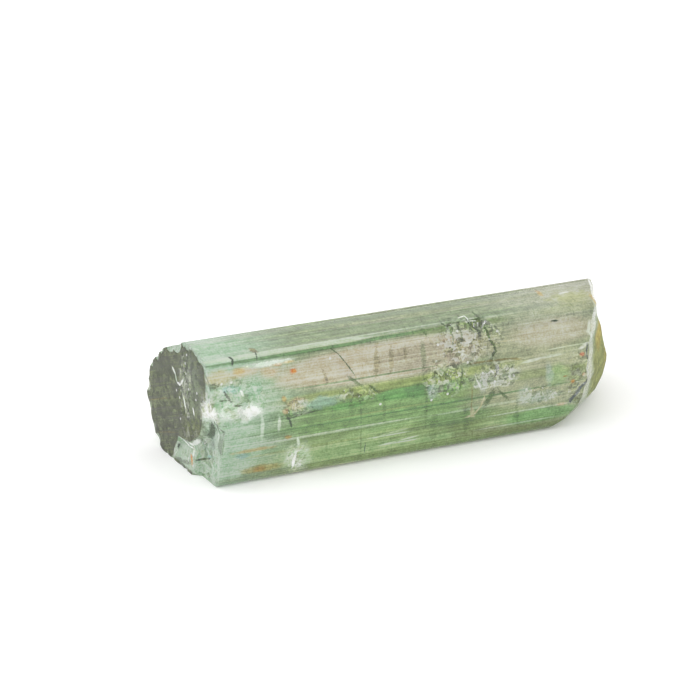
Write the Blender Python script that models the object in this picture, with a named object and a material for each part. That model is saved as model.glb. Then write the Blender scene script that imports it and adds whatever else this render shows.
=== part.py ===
"""A green tourmaline crystal lying on its side: a striated, rounded three-sided prism, broken at both ends.

Metres, +Z up. +X runs along the crystal's long axis, from the flat, chipped end at -X to the stepped break
at +X, and -Y is the front. The origin is on the surface that the crystal rests on, under the middle of its
bounding box.
"""

import math
import random

import bmesh
import bpy
from mathutils import Vector

MM = 0.001

# Driving dimensions, measured from a point on the crystal's axis near the middle of its length
FLAT_END_X = -19.4 * MM  # the flat end face
STOCK_END_X = 22.0 * MM  # the whole prism is made as far as this, and then broken
STOCK_SPARE = 2.0 * MM  # and starts this far before the flat end
AXIS_HEIGHT = 5.25 * MM  # the crystal's axis above the face that it rests on

# The prism's faces, going round from the top towards the front: the direction that each faces, in degrees
# from straight up towards the front, and its distance from the axis.
PRISM_FACES = (
    (12, 5.68 * MM),  # top
    (43, 6.92 * MM),  # narrow bevel between the top and the front
    (74, 6.36 * MM),  # upper front
    (99, 6.57 * MM),  # lower front
    (140, 7.50 * MM),  # narrow bevel at the front foot
    (180, AXIS_HEIGHT),  # the base that it rests on
    (214, 6.41 * MM),  # under the back
    (242, 6.52 * MM),  # lower back
    (290, 5.81 * MM),  # back
    (321, 4.59 * MM),  # upper back
    (342, 4.26 * MM),  # top back
)
CORNER_SHARPNESS = 90  # the higher, the sharper the prism's long edges
FACING = 0.15  # a face bounds the section only where it faces at least this much along the radius

# Striae: grooves that run along the prism, as on every tourmaline, and the wider ledges between them
STRIA_SEED = 7
STRIA_COUNT = 64
STRIA_DEPTH = (0.03 * MM, 0.11 * MM)
STRIA_HALF_WIDTH = (1.2, 3.6)  # degrees round the axis
STRIA_SIDE_SLOPE = 1.0  # a plain V
LEDGE_COUNT = 9
LEDGE_DEPTH = (0.06 * MM, 0.15 * MM)
LEDGE_HALF_WIDTH = (4.5, 9.0)
LEDGE_SIDE_SLOPE = 6.0  # a flat floor between short, steep sides
GROOVE_LENGTH = (9 * MM, 60 * MM)
GROOVE_RUN_OUT = 1.8 * MM  # the length over which a groove fades out
BASE_CLEAR_OF_GROOVES = 46  # degrees each side of straight down that stay flat, for the crystal to rest on

# The break at +X, as planes X = at + along_y * y + along_z * z, with z measured from the axis
FRONT_STEP_AT, FRONT_STEP_ALONG_Y = 18.98 * MM, 0.95  # the steep step behind the front faces
UPPER_BREAK_AT, UPPER_BREAK_ALONG_Y, UPPER_BREAK_ALONG_Z = 16.1 * MM, 0.471, 0.151
LOBE_AT, LOBE_ALONG_Y = 17.96 * MM, 0.15  # the lump that stands out of the break's lower half
LOBE_BROW_Z, LOBE_BROW_SLOPE = -2.0 * MM, 0.45  # above this height the lobe falls back
FOOT_BENDS = ((-1.4 * MM, 0.46), (-3.2 * MM, 0.54), (-4.4 * MM, 1.5))  # under each height, more slope
FOOT_FRONT_Y, FOOT_BACK_Y = -6.0 * MM, -1.0 * MM
FOOT_BACK_SHARE = 0.55  # how deep the foot is cut at the back, as a share of its depth at the front
RIPPLE_DEPTH, RIPPLE_LENGTH = 0.05 * MM, 1.7 * MM  # the shell-like waves of a glassy break
RIPPLE_CENTRE = (-6.0 * MM, -3.0 * MM)  # y, z of the point that the break spread from

# Chips in the rim of the flat end: depths along X, with y and z measured from the axis
RIM_SLOPE = 0.3  # the crushed rim, from the top round to the front, widest where it meets the corner chip
RIM_WIDTH_AT_TOP, RIM_WIDTH_AT_FRONT = 0.35 * MM, 2.0 * MM
RIM_ENDS_AT = 95  # degrees from straight up towards the front
CORNER_CHIP_TOP_Z, CORNER_CHIP_WALL = -0.3 * MM, 1.3  # the lower front corner's chip, under a steep wall
CORNER_CHIP_Y, CORNER_CHIP_LEAN, CORNER_CHIP_SLOPE = -4.25 * MM, 0.33, 0.40
SCOOP_CENTRE, SCOOP_RADIUS, SCOOP_DEPTH = (-1.0 * MM, -3.95 * MM), 1.8 * MM, 0.75 * MM  # y, z at the foot
TOP_NICK_CENTRE, TOP_NICK_RADIUS, TOP_NICK_DEPTH = (0.6 * MM, 4.9 * MM), 1.1 * MM, 0.5 * MM
BACK_NICK_CENTRE, BACK_NICK_RADIUS, BACK_NICK_DEPTH = (7.3 * MM, -0.6 * MM), 1.0 * MM, 0.6 * MM

# How finely the shapes are divided
AROUND = 240
ALONG = 26
CUTTER_CELLS = 56
CUTTER_HALF_SIZE = 8.5 * MM
CUTTER_REACH = 30 * MM

COLOUR = (0.30, 0.42, 0.25, 1.0)
ROUGHNESS = 0.18
REFRACTIVE_INDEX = 1.63
CLEARNESS = 0.6


def section_radius(angle):
    """The prism's radius at this angle from straight up towards the front, before the striae are cut."""
    total = 0.0
    for face_angle, distance in PRISM_FACES:
        lean = math.cos(angle - math.radians(face_angle))
        if lean > FACING:
            total += (lean / distance) ** CORNER_SHARPNESS
    return total ** (-1 / CORNER_SHARPNESS)


def make_grooves():
    """The striae and ledges: the angle, half width, side slope, depth, start and end of each."""
    draw = random.Random(STRIA_SEED)
    kinds = (
        (STRIA_COUNT, STRIA_HALF_WIDTH, STRIA_SIDE_SLOPE, STRIA_DEPTH),
        (LEDGE_COUNT, LEDGE_HALF_WIDTH, LEDGE_SIDE_SLOPE, LEDGE_DEPTH),
    )
    grooves = []
    for count, half_widths, side_slope, depths in kinds:
        for _ in range(count):
            half_width = draw.uniform(*half_widths)
            clear = BASE_CLEAR_OF_GROOVES + half_width
            angle = 180 + draw.uniform(clear, 360 - clear)
            start = draw.uniform(FLAT_END_X - GROOVE_LENGTH[0], STOCK_END_X)
            end = start + draw.uniform(*GROOVE_LENGTH)
            depth = draw.uniform(*depths)
            grooves.append((math.radians(angle), math.radians(half_width), side_slope, depth, start, end))
    return grooves


def groove_depth(grooves, angle, x):
    """How far the grooves lower the surface at this angle and this place along the crystal."""
    lowered = 0.0
    for middle, half_width, side_slope, depth, start, end in grooves:
        off = abs(math.remainder(angle - middle, math.tau)) / half_width
        if off < 1:
            across = min(1.0, (1 - off) * side_slope)
            along = min(1.0, max(0.0, min(x - start, end - x) / GROOVE_RUN_OUT))
            lowered += depth * across * along
    return lowered


def prism():
    """The whole prism: a cylinder cut across at even stations, its points moved to the section."""
    mesh = bmesh.new()
    bmesh.ops.create_cone(mesh, cap_ends=True, segments=AROUND, radius1=1, radius2=1, depth=1)
    for station in range(1, ALONG):
        whole = mesh.verts[:] + mesh.edges[:] + mesh.faces[:]
        bmesh.ops.bisect_plane(mesh, geom=whole, plane_co=(0, 0, station / ALONG - 0.5), plane_no=(0, 0, 1))
    grooves = make_grooves()
    stock_start = FLAT_END_X - STOCK_SPARE
    for vertex in mesh.verts:
        angle = math.atan2(vertex.co.y, vertex.co.x)
        x = stock_start + (vertex.co.z + 0.5) * (STOCK_END_X - stock_start)
        radius = section_radius(angle) - groove_depth(grooves, angle, x)
        vertex.co = (x, -radius * math.sin(angle), radius * math.cos(angle))
    bmesh.ops.recalc_face_normals(mesh, faces=mesh.faces)
    return mesh


def ripple(y, z):
    """The waves of a glassy break, as rings about the point that it spread from."""
    spread = math.hypot(y - RIPPLE_CENTRE[0], z - RIPPLE_CENTRE[1])
    return RIPPLE_DEPTH * math.sin(math.tau * spread / RIPPLE_LENGTH)


def broken_end(y, z):
    """Where the break at +X ends the crystal."""
    front = FRONT_STEP_AT + FRONT_STEP_ALONG_Y * y
    upper = UPPER_BREAK_AT + UPPER_BREAK_ALONG_Y * y + UPPER_BREAK_ALONG_Z * z
    lobe = LOBE_AT + LOBE_ALONG_Y * y - LOBE_BROW_SLOPE * max(0.0, z - LOBE_BROW_Z)
    foot = sum(slope * max(0.0, height - z) for height, slope in FOOT_BENDS)
    to_the_back = min(1.0, max(0.0, (y - FOOT_FRONT_Y) / (FOOT_BACK_Y - FOOT_FRONT_Y)))
    foot *= 1 - (1 - FOOT_BACK_SHARE) * to_the_back
    return min(front, max(upper, lobe)) - foot + ripple(y, z)


def scoop(y, z, centre, radius, depth):
    """A round hollow's depth at this place."""
    off = math.hypot(y - centre[0], z - centre[1]) / radius
    return depth * max(0.0, 1 - off * off)


def rim_depth(y, z):
    """How deep the crushed rim is here: a bevel that widens from the top round to the front."""
    angle = math.atan2(-y, z)
    round_to_front = math.degrees(angle) / RIM_ENDS_AT
    if not 0 < round_to_front < 1:
        return 0.0
    width = RIM_WIDTH_AT_TOP + (RIM_WIDTH_AT_FRONT - RIM_WIDTH_AT_TOP) * round_to_front**2
    return RIM_SLOPE * (math.hypot(y, z) - section_radius(angle) + width)


def chipped_end(y, z):
    """Where the flat, chipped face at -X ends the crystal."""
    rim = rim_depth(y, z)
    corner_edge = CORNER_CHIP_Y + CORNER_CHIP_LEAN * (CORNER_CHIP_TOP_Z - z)
    corner = min(CORNER_CHIP_SLOPE * (corner_edge - y), CORNER_CHIP_WALL * (CORNER_CHIP_TOP_Z - z))
    foot = scoop(y, z, SCOOP_CENTRE, SCOOP_RADIUS, SCOOP_DEPTH)
    top = scoop(y, z, TOP_NICK_CENTRE, TOP_NICK_RADIUS, TOP_NICK_DEPTH)
    back = scoop(y, z, BACK_NICK_CENTRE, BACK_NICK_RADIUS, BACK_NICK_DEPTH)
    return FLAT_END_X + max(0.0, rim, corner, foot, top, back)


def end_cutter(name, end_x, reach, cutters):
    """A block whose near face has the shape of one end: a grid moved to it, then drawn out to reach."""
    mesh = bmesh.new()
    bmesh.ops.create_grid(mesh, x_segments=CUTTER_CELLS, y_segments=CUTTER_CELLS, size=CUTTER_HALF_SIZE)
    for vertex in mesh.verts:
        y, z = vertex.co.x, vertex.co.y
        vertex.co = (end_x(y, z), y, z)
    drawn = bmesh.ops.extrude_face_region(mesh, geom=mesh.faces[:], use_keep_orig=True)
    for vertex in drawn["geom"]:
        if isinstance(vertex, bmesh.types.BMVert):
            vertex.co.x = reach
    bmesh.ops.recalc_face_normals(mesh, faces=mesh.faces)
    cutter = new_object(name, mesh, cutters)
    cutter.hide_render = True
    cutter.display_type = "WIRE"
    return cutter


def new_object(name, mesh, collection):
    data = bpy.data.meshes.new(name)
    mesh.to_mesh(data)
    mesh.free()
    made = bpy.data.objects.new(name, data)
    collection.objects.link(made)
    return made


def new_collection(name):
    collection = bpy.data.collections.new(name)
    bpy.context.scene.collection.children.link(collection)
    return collection


def tourmaline_material():
    """Green tourmaline: hard, glassy and half clear."""
    material = bpy.data.materials.new("green tourmaline")
    material.use_nodes = True
    shader = material.node_tree.nodes["Principled BSDF"]
    shader.inputs["Base Color"].default_value = COLOUR
    shader.inputs["Roughness"].default_value = ROUGHNESS
    shader.inputs["Metallic"].default_value = 0.0
    shader.inputs["IOR"].default_value = REFRACTIVE_INDEX
    shader.inputs["Transmission Weight"].default_value = CLEARNESS
    return material


def cut(crystal, cutter):
    modifier = crystal.modifiers.new(cutter.name, "BOOLEAN")
    modifier.operation = "DIFFERENCE"
    modifier.solver = "EXACT"
    modifier.object = cutter


def break_ends(crystal, cutters):
    """Cuts both ends and keeps the result as the crystal's own mesh."""
    cut(crystal, end_cutter("break_cutter", broken_end, CUTTER_REACH, cutters))
    cut(crystal, end_cutter("flat_end_cutter", chipped_end, -CUTTER_REACH, cutters))
    graph = bpy.context.evaluated_depsgraph_get()
    whole = crystal.data
    crystal.data = bpy.data.meshes.new_from_object(crystal.evaluated_get(graph))
    crystal.modifiers.clear()
    bpy.data.meshes.remove(whole)


def stand_on_origin(crystal):
    """Moves the points so that the base lies at z = 0 and the box is centred on the origin in X and Y."""
    corners = [Vector(corner) for corner in crystal.bound_box]
    low = Vector(min(corner[axis] for corner in corners) for axis in range(3))
    high = Vector(max(corner[axis] for corner in corners) for axis in range(3))
    middle = (low + high) / 2
    for vertex in crystal.data.vertices:
        vertex.co -= Vector((middle.x, middle.y, low.z))


def main():
    for obj in list(bpy.data.objects):
        bpy.data.objects.remove(obj)
    parts = new_collection("tourmaline_crystal")
    cutters = new_collection("cutters")
    crystal = new_object("crystal", prism(), parts)
    break_ends(crystal, cutters)
    stand_on_origin(crystal)
    crystal.data.name = "crystal"
    crystal.data.materials.append(tourmaline_material())


if __name__ == "__main__":
    main()
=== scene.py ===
"""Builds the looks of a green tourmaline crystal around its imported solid.

They are the striated body with its breaks and colour zones, the cracks, veils of inclusions and growth tubes
inside it, and a pale stage.

Metres, +Z up, +X along the crystal's long axis and -Y its front, as in the frame.
"""

import math
import random

import bmesh
import bpy
import numpy as np
from bpy.props import FloatProperty, FloatVectorProperty, IntProperty, PointerProperty
from mathutils import Matrix, Vector, noise


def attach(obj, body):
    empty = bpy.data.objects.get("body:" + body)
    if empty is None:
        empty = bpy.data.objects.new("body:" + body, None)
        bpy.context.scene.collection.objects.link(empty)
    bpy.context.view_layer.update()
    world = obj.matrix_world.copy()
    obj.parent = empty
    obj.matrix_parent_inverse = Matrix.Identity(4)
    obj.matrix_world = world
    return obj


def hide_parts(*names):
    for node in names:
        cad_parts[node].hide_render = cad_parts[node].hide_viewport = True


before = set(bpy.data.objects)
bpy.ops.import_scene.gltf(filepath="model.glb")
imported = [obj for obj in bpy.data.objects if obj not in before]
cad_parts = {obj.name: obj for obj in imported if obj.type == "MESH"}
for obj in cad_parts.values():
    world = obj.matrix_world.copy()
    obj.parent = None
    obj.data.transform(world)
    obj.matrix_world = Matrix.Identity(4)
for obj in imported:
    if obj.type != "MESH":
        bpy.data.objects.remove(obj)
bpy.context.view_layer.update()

bl_info = {
    "name": "Tourmaline crystal",
    "version": (1, 0, 0),
    "blender": (4, 5, 0),
    "location": "3D View > Sidebar > Tourmaline",
    "description": "A green tourmaline crystal with its striae, breaks, veils, cracks and growth tubes",
    "category": "Object",
}

MM = 0.001
BODY = "root"
NODE = "crystal"

# The crystal's shape, measured from a point on its axis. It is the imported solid's shape, divided more finely.
FLAT_END_X = -19.4 * MM  # the flat end face
AXIS_HEIGHT = 5.25 * MM  # the axis above the face that the crystal rests on
PRISM_FACES = (  # each face's direction, in degrees from straight up towards the front, and its distance
    (12, 5.68 * MM),
    (43, 6.92 * MM),
    (74, 6.36 * MM),
    (99, 6.57 * MM),
    (140, 7.50 * MM),
    (180, AXIS_HEIGHT),
    (214, 6.41 * MM),
    (242, 6.52 * MM),
    (290, 5.81 * MM),
    (321, 4.59 * MM),
    (336, 4.34 * MM),
    (357, 5.14 * MM),
)
CORNER_SHARPNESS = 90  # the higher, the sharper the edges between the faces
FACING = 0.15  # a face counts only in directions whose lean from it has a cosine over this

# Striae and ledges along the prism: how many, half width in degrees, slope of their sides, depth
STRIA_SEED = 7
GROOVE_KINDS = (
    (64, (1.2, 3.6), 1.0, (0.03 * MM, 0.11 * MM)),
    (9, (4.5, 9.0), 6.0, (0.06 * MM, 0.15 * MM)),
)
STOCK_END_X = 22.0 * MM
GROOVE_LENGTH = (9 * MM, 60 * MM)
GROOVE_RUN_OUT = 1.8 * MM
BASE_CLEAR_OF_GROOVES = 46  # degrees each side of straight down

# The break at +X, as planes X = at + along_y * y + along_z * z
FRONT_STEP_AT, FRONT_STEP_ALONG_Y = 18.98 * MM, 0.95
UPPER_BREAK_AT, UPPER_BREAK_ALONG_Y, UPPER_BREAK_ALONG_Z = 16.1 * MM, 0.471, 0.151
UPPER_BROW_Z, UPPER_BROW_SLOPE = 4.4 * MM, 0.8
LOBE_AT, LOBE_ALONG_Y = 17.96 * MM, 0.15
LOBE_BROW_Z, LOBE_BROW_SLOPE = -2.0 * MM, 0.45
FOOT_BENDS = ((-1.4 * MM, 0.46), (-3.2 * MM, 0.54), (-4.4 * MM, 1.5))
FOOT_FRONT_Y, FOOT_BACK_Y = -6.0 * MM, -1.0 * MM
FOOT_BACK_SHARE = 0.55
RIPPLE_DEPTH, RIPPLE_LENGTH = 0.05 * MM, 1.7 * MM
RIPPLE_CENTRE = (-6.0 * MM, -3.0 * MM)

# The flat end's rim towards the front, a shallow bevel
RIM_SLOPE = 0.12
RIM_WIDTH_AT_TOP, RIM_WIDTH_AT_FRONT = 0.35 * MM, 2.0 * MM
RIM_ENDS_AT = 95  # degrees from straight up towards the front

# The corner chip: it drops steeply from a slanting edge, to a floor with a facet above and one below
CORNER_EDGE_Y, CORNER_EDGE_LEAN, CORNER_EDGE_Z = -4.25 * MM, 0.33, -0.3 * MM
CORNER_BEND_LEAN, CORNER_BEND_Z, CORNER_EDGE_END_Y = 0.9, -1.65 * MM, -2.25 * MM
CORNER_SLOPE = 1.1
CORNER_TOP_AT, CORNER_TOP_SLOPE, CORNER_TOP_Z = 0.16 * MM, 0.42, 0.95 * MM
CORNER_LOW_AT, CORNER_LOW_SLOPE, CORNER_LOW_Z = 0.80 * MM, 0.05, -2.3 * MM

# The notch chip: two steep walls that meet in a point, a third beside them, and a floor rising to the base
NOTCH_POINT = (-1.82 * MM, -2.72 * MM)
NOTCH_WALLS = ((-0.114, -0.993), (-0.536, -0.845))
NOTCH_SIDE_POINT, NOTCH_SIDE = (0.44 * MM, -2.98 * MM), (-0.906, -0.422)
NOTCH_WALL_SLOPE = 1.9
NOTCH_FLOOR_SLOPE, NOTCH_FLOOR_Z = 0.22, -5.2 * MM

# Round nicks in the flat end's rim: y and z of the middle, radius, depth
NICKS = (
    (0.6 * MM, 4.9 * MM, 1.1 * MM, 0.5 * MM),
    (7.3 * MM, -0.6 * MM, 1.0 * MM, 0.6 * MM),
)
RIM_CHIP_SEED = 5
RIM_CHIP_COUNT = 40
RIM_CHIP_RADIUS = (0.25 * MM, 0.65 * MM)
RIM_CHIP_DEPTH = (0.03 * MM, 0.16 * MM)

# Shallow scars in the long faces: x, angle from straight up towards the front, half length, half width, depth
SCARS = (
    (-17.9 * MM, 72, 2.1 * MM, 1.7 * MM, 0.10 * MM),
    (-16.1 * MM, 88, 0.9 * MM, 0.5 * MM, 0.16 * MM),
    (-12.1 * MM, 88, 0.8 * MM, 0.5 * MM, 0.08 * MM),
    (-12.2 * MM, 124, 0.5 * MM, 0.7 * MM, 0.12 * MM),
    (3.6 * MM, 48, 0.7 * MM, 0.8 * MM, 0.12 * MM),
    (4.6 * MM, 86, 1.6 * MM, 0.9 * MM, 0.12 * MM),
    (12.7 * MM, 84, 0.8 * MM, 0.9 * MM, 0.12 * MM),
    (-5.0 * MM, 300, 1.4 * MM, 0.9 * MM, 0.12 * MM),
    (8.0 * MM, 250, 1.1 * MM, 1.2 * MM, 0.14 * MM),
)

# How finely the body is divided, and how its rings crowd towards the rims and towards the flat end
AROUND = 500
NEAR_RINGS, SIDE_RINGS, FAR_RINGS = 56, 100, 36
RIM_CROWDING = 1.35
SIDE_CROWDING = 1.3

# Fine striae that only the looks show
FINE_SEED = 21
FINE_COUNT = 240
FINE_DEPTH = (0.006 * MM, 0.026 * MM)
FINE_HALF_WIDTH = (0.7, 1.6)  # degrees


# ---------------------------------------------------------------- shape


def section_radius(angle):
    """The prism's radius at each angle from straight up towards the front, before the grooves are cut."""
    total = np.zeros_like(angle)
    for face_angle, distance in PRISM_FACES:
        lean = np.cos(angle - math.radians(face_angle))
        total += np.where(lean > FACING, np.maximum(lean, FACING) / distance, 0.0) ** CORNER_SHARPNESS
    return total ** (-1 / CORNER_SHARPNESS)


def make_grooves(seed, kinds):
    """The striae and ledges: the angle, half width, side slope, depth, start and end of each."""
    draw = random.Random(seed)
    grooves = []
    for count, half_widths, side_slope, depths in kinds:
        for _ in range(count):
            half_width = draw.uniform(*half_widths)
            clear = BASE_CLEAR_OF_GROOVES + half_width
            angle = 180 + draw.uniform(clear, 360 - clear)
            start = draw.uniform(FLAT_END_X - GROOVE_LENGTH[0], STOCK_END_X)
            end = start + draw.uniform(*GROOVE_LENGTH)
            depth = draw.uniform(*depths)
            grooves.append((math.radians(angle), math.radians(half_width), side_slope, depth, start, end))
    return grooves


def groove_depth(grooves, angle, x):
    """How far the grooves lower the surface at these angles and places along the crystal."""
    lowered = np.zeros_like(angle)
    for middle, half_width, side_slope, depth, start, end in grooves:
        off = np.abs((angle - middle + math.pi) % math.tau - math.pi) / half_width
        across = np.clip((1 - off) * side_slope, 0, 1)
        along = np.clip(np.minimum(x - start, end - x) / GROOVE_RUN_OUT, 0, 1)
        lowered += depth * across * along
    return lowered


def scar_depth(angle, x, radius):
    """How far the shallow scars lower the long faces."""
    lowered = np.zeros_like(angle)
    for middle_x, middle_angle, half_length, half_width, depth in SCARS:
        turn = (angle - math.radians(middle_angle) + math.pi) % math.tau - math.pi
        off = np.hypot((x - middle_x) / half_length, turn * radius / half_width)
        lowered = np.maximum(lowered, depth * np.maximum(0.0, 1 - off * off))
    return lowered


def broken_end(y, z):
    """Where the break at +X ends the crystal."""
    front = FRONT_STEP_AT + FRONT_STEP_ALONG_Y * y
    upper = UPPER_BREAK_AT + UPPER_BREAK_ALONG_Y * y + UPPER_BREAK_ALONG_Z * z
    brow = UPPER_BROW_SLOPE * np.maximum(0.0, z - UPPER_BROW_Z)
    lobe = LOBE_AT + LOBE_ALONG_Y * y - LOBE_BROW_SLOPE * np.maximum(0.0, z - LOBE_BROW_Z)
    foot = sum(slope * np.maximum(0.0, height - z) for height, slope in FOOT_BENDS)
    to_the_back = np.clip((y - FOOT_FRONT_Y) / (FOOT_BACK_Y - FOOT_FRONT_Y), 0, 1)
    foot = foot * (1 - (1 - FOOT_BACK_SHARE) * to_the_back)
    spread = np.hypot(y - RIPPLE_CENTRE[0], z - RIPPLE_CENTRE[1])
    ripple = RIPPLE_DEPTH * np.sin(math.tau * spread / RIPPLE_LENGTH)
    return np.minimum(front, np.maximum(upper, lobe)) - foot - brow + ripple


def rim_depth(y, z):
    """The shallow bevel of the rim, which widens from the top round to the front."""
    angle = np.arctan2(-y, z)
    round_to_front = np.degrees(angle) / RIM_ENDS_AT
    width = RIM_WIDTH_AT_TOP + (RIM_WIDTH_AT_FRONT - RIM_WIDTH_AT_TOP) * round_to_front**2
    depth = RIM_SLOPE * (np.hypot(y, z) - section_radius(angle) + width)
    return np.where((round_to_front > 0) & (round_to_front < 1), depth, 0.0)


def corner_depth(y, z):
    """The chip that took the lower front corner of the flat end."""
    edge = CORNER_EDGE_Y + CORNER_EDGE_LEAN * (CORNER_EDGE_Z - z)
    edge = np.minimum(edge + CORNER_BEND_LEAN * np.maximum(0.0, CORNER_BEND_Z - z), CORNER_EDGE_END_Y)
    top = CORNER_TOP_AT + CORNER_TOP_SLOPE * (CORNER_TOP_Z - z)
    low = CORNER_LOW_AT + CORNER_LOW_SLOPE * (z - CORNER_LOW_Z)
    return np.minimum(CORNER_SLOPE * (edge - y), np.minimum(top, low))


def notch_depth(y, z):
    """The pointed notch at the foot of the flat end."""
    from_y, from_z = y - NOTCH_POINT[0], z - NOTCH_POINT[1]
    walls = [from_y * along_y + from_z * along_z for along_y, along_z in NOTCH_WALLS]
    side = (y - NOTCH_SIDE_POINT[0]) * NOTCH_SIDE[0] + (z - NOTCH_SIDE_POINT[1]) * NOTCH_SIDE[1]
    floor = NOTCH_FLOOR_SLOPE * (z - NOTCH_FLOOR_Z)
    return np.minimum(NOTCH_WALL_SLOPE * np.minimum(np.maximum(*walls), side), floor)


def make_rim_chips():
    """Small round chips scattered round the flat end's rim, with the two larger nicks."""
    draw = random.Random(RIM_CHIP_SEED)
    chips = list(NICKS)
    for _ in range(RIM_CHIP_COUNT):
        angle = draw.uniform(0, math.tau)
        rim = float(section_radius(np.array([angle]))[0])
        radius = draw.uniform(*RIM_CHIP_RADIUS)
        depth = draw.uniform(*RIM_CHIP_DEPTH)
        chips.append((-rim * math.sin(angle), rim * math.cos(angle), radius, depth))
    return chips


RIM_CHIPS = make_rim_chips()


def chipped_end(y, z):
    """Where the flat, chipped face at -X ends the crystal."""
    deepest = np.maximum(np.maximum(rim_depth(y, z), corner_depth(y, z)), notch_depth(y, z))
    for chip_y, chip_z, radius, depth in RIM_CHIPS:
        off = np.hypot(y - chip_y, z - chip_z) / radius
        deepest = np.maximum(deepest, depth * (1 - off * off))
    return FLAT_END_X + np.maximum(deepest, 0.0)


def body_points(rings, angle, fine_count, fine_depth):
    """The body's points, from each point's ring number and its turn round the axis."""
    last_ring = NEAR_RINGS + SIDE_RINGS + FAR_RINGS
    grooves = make_grooves(STRIA_SEED, GROOVE_KINDS)
    fine = make_grooves(FINE_SEED, ((fine_count, FINE_HALF_WIDTH, 1.0, (FINE_DEPTH[0], fine_depth)),))
    share_in = np.clip(np.minimum(rings / NEAR_RINGS, (last_ring - rings) / FAR_RINGS), 0, 1)
    share_in = 1 - (1 - share_in) ** RIM_CROWDING
    along = np.clip((rings - NEAR_RINGS) / SIDE_RINGS, 0, 1) ** SIDE_CROWDING
    smooth = section_radius(angle)
    rim_y, rim_z = -smooth * np.sin(angle), smooth * np.cos(angle)
    x = chipped_end(rim_y, rim_z) * (1 - along) + broken_end(rim_y, rim_z) * along
    radius = smooth - groove_depth(grooves + fine, angle, x) - scar_depth(angle, x, smooth)
    y, z = -radius * share_in * np.sin(angle), radius * share_in * np.cos(angle)
    x = chipped_end(y, z) * (1 - along) + broken_end(y, z) * along
    return np.column_stack([x, y, z])


# ---------------------------------------------------------------- making objects, nodes and materials

# How a Mix node lays one colour over another, how it lightens and darkens one, and how a Map Range node rises
LAID_OVER = {"data_type": "RGBA"}
OVERLAY = {"data_type": "RGBA", "blend_type": "OVERLAY"}
SMOOTH = {"interpolation_type": "SMOOTHSTEP", "clamp": False}

SEED_STEP = (1.0, 0.7, 1.3)  # which way a seed shifts its noise
ZONE_REACH = 2.5  # how far a zone's gradient runs, in its half sizes
DOT_STARTS, DOT_IS_FULL = 1.2, 0.6  # in a dot's radius
TWO_TONE_FROM, TWO_TONE_TO = 0.35, 0.65


def new_object(name, mesh):
    """A mesh object in the scene from a bmesh, its faces turned outwards."""
    bmesh.ops.recalc_face_normals(mesh, faces=mesh.faces)
    data = bpy.data.meshes.new(name)
    mesh.to_mesh(data)
    mesh.free()
    made = bpy.data.objects.new(name, data)
    bpy.context.scene.collection.objects.link(made)
    return made


def linear(hex_colour):
    """An sRGB hex colour such as "8FA37C" as a linear colour."""
    parts = [int(hex_colour[place : place + 2], 16) / 255 for place in (0, 2, 4)]
    return tuple(part / 12.92 if part <= 0.04045 else ((part + 0.055) / 1.055) ** 2.4 for part in parts)


def opaque(colour):
    """A colour with an alpha of 1."""
    return (*colour[:3], 1.0)


def add(tree, kind, inputs=None, **properties):
    """Adds a node: inputs maps each input's name or number to a value, or to the socket that feeds it."""
    node = tree.nodes.new(kind)
    for name, value in properties.items():
        setattr(node, name, value)
    for key, value in (inputs or {}).items():
        if isinstance(value, bpy.types.NodeSocket):
            tree.links.new(value, node.inputs[key])
        else:
            node.inputs[key].default_value = value
    return node


def new_material(name):
    """A material with an empty node tree."""
    material = bpy.data.materials.new(name)
    material.use_nodes = True
    material.node_tree.nodes.clear()
    return material, material.node_tree


def in_millimetres(tree):
    """The place on the piece, in millimetres."""
    place = add(tree, "ShaderNodeTexCoord").outputs["Object"]
    return add(tree, "ShaderNodeMapping", {"Vector": place, "Scale": [1 / MM] * 3}).outputs["Vector"]


def grain(tree, place, size, detail, roughness, seed):
    """Noise whose features have this size in millimetres along X, Y and Z: the noise node's outputs."""
    offset = [seed * part for part in SEED_STEP]
    inputs = {"Vector": place, "Scale": [1 / part for part in size], "Location": offset}
    scaled = add(tree, "ShaderNodeMapping", inputs).outputs["Vector"]
    inputs = {"Vector": scaled, "Scale": 1.0, "Detail": detail, "Roughness": roughness}
    return add(tree, "ShaderNodeTexNoise", inputs).outputs


def cells(tree, place, size, seed):
    """Voronoi cells of this size in millimetres: each one's random Color and Distance from its middle."""
    inputs = {"Vector": place, "Scale": [1 / size] * 3, "Location": [seed] * 3}
    scaled = add(tree, "ShaderNodeMapping", inputs).outputs["Vector"]
    return add(tree, "ShaderNodeTexVoronoi", {"Vector": scaled, "Scale": 1.0}).outputs


def dots(tree, place, size, seed, share, radius):
    """A mask of small dots: this share of the cells has one, with this radius in cells."""
    dot = cells(tree, place, size, seed)
    draw = add(tree, "ShaderNodeSeparateXYZ", {0: dot["Color"]}).outputs["X"]
    chosen = add(tree, "ShaderNodeMath", {0: draw, 1: share}, operation="LESS_THAN").outputs[0]
    inputs = {"Value": dot["Distance"], "From Min": radius * DOT_STARTS, "From Max": radius * DOT_IS_FULL}
    near = add(tree, "ShaderNodeMapRange", inputs, **SMOOTH).outputs["Result"]
    return add(tree, "ShaderNodeMath", {0: chosen, 1: near}, operation="MULTIPLY").outputs[0]


def past(tree, place, start, length):
    """0 up to this place along X, and 1 from this length past it, in mm. A negative length turns it round."""
    inputs = {"Vector": place, "Location": (start, 0, 0), "Scale": (length, 1, 1)}
    shifted = add(tree, "ShaderNodeMapping", inputs, vector_type="TEXTURE").outputs["Vector"]
    return add(tree, "ShaderNodeTexGradient", {"Vector": shifted}, gradient_type="LINEAR").outputs["Fac"]


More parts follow.
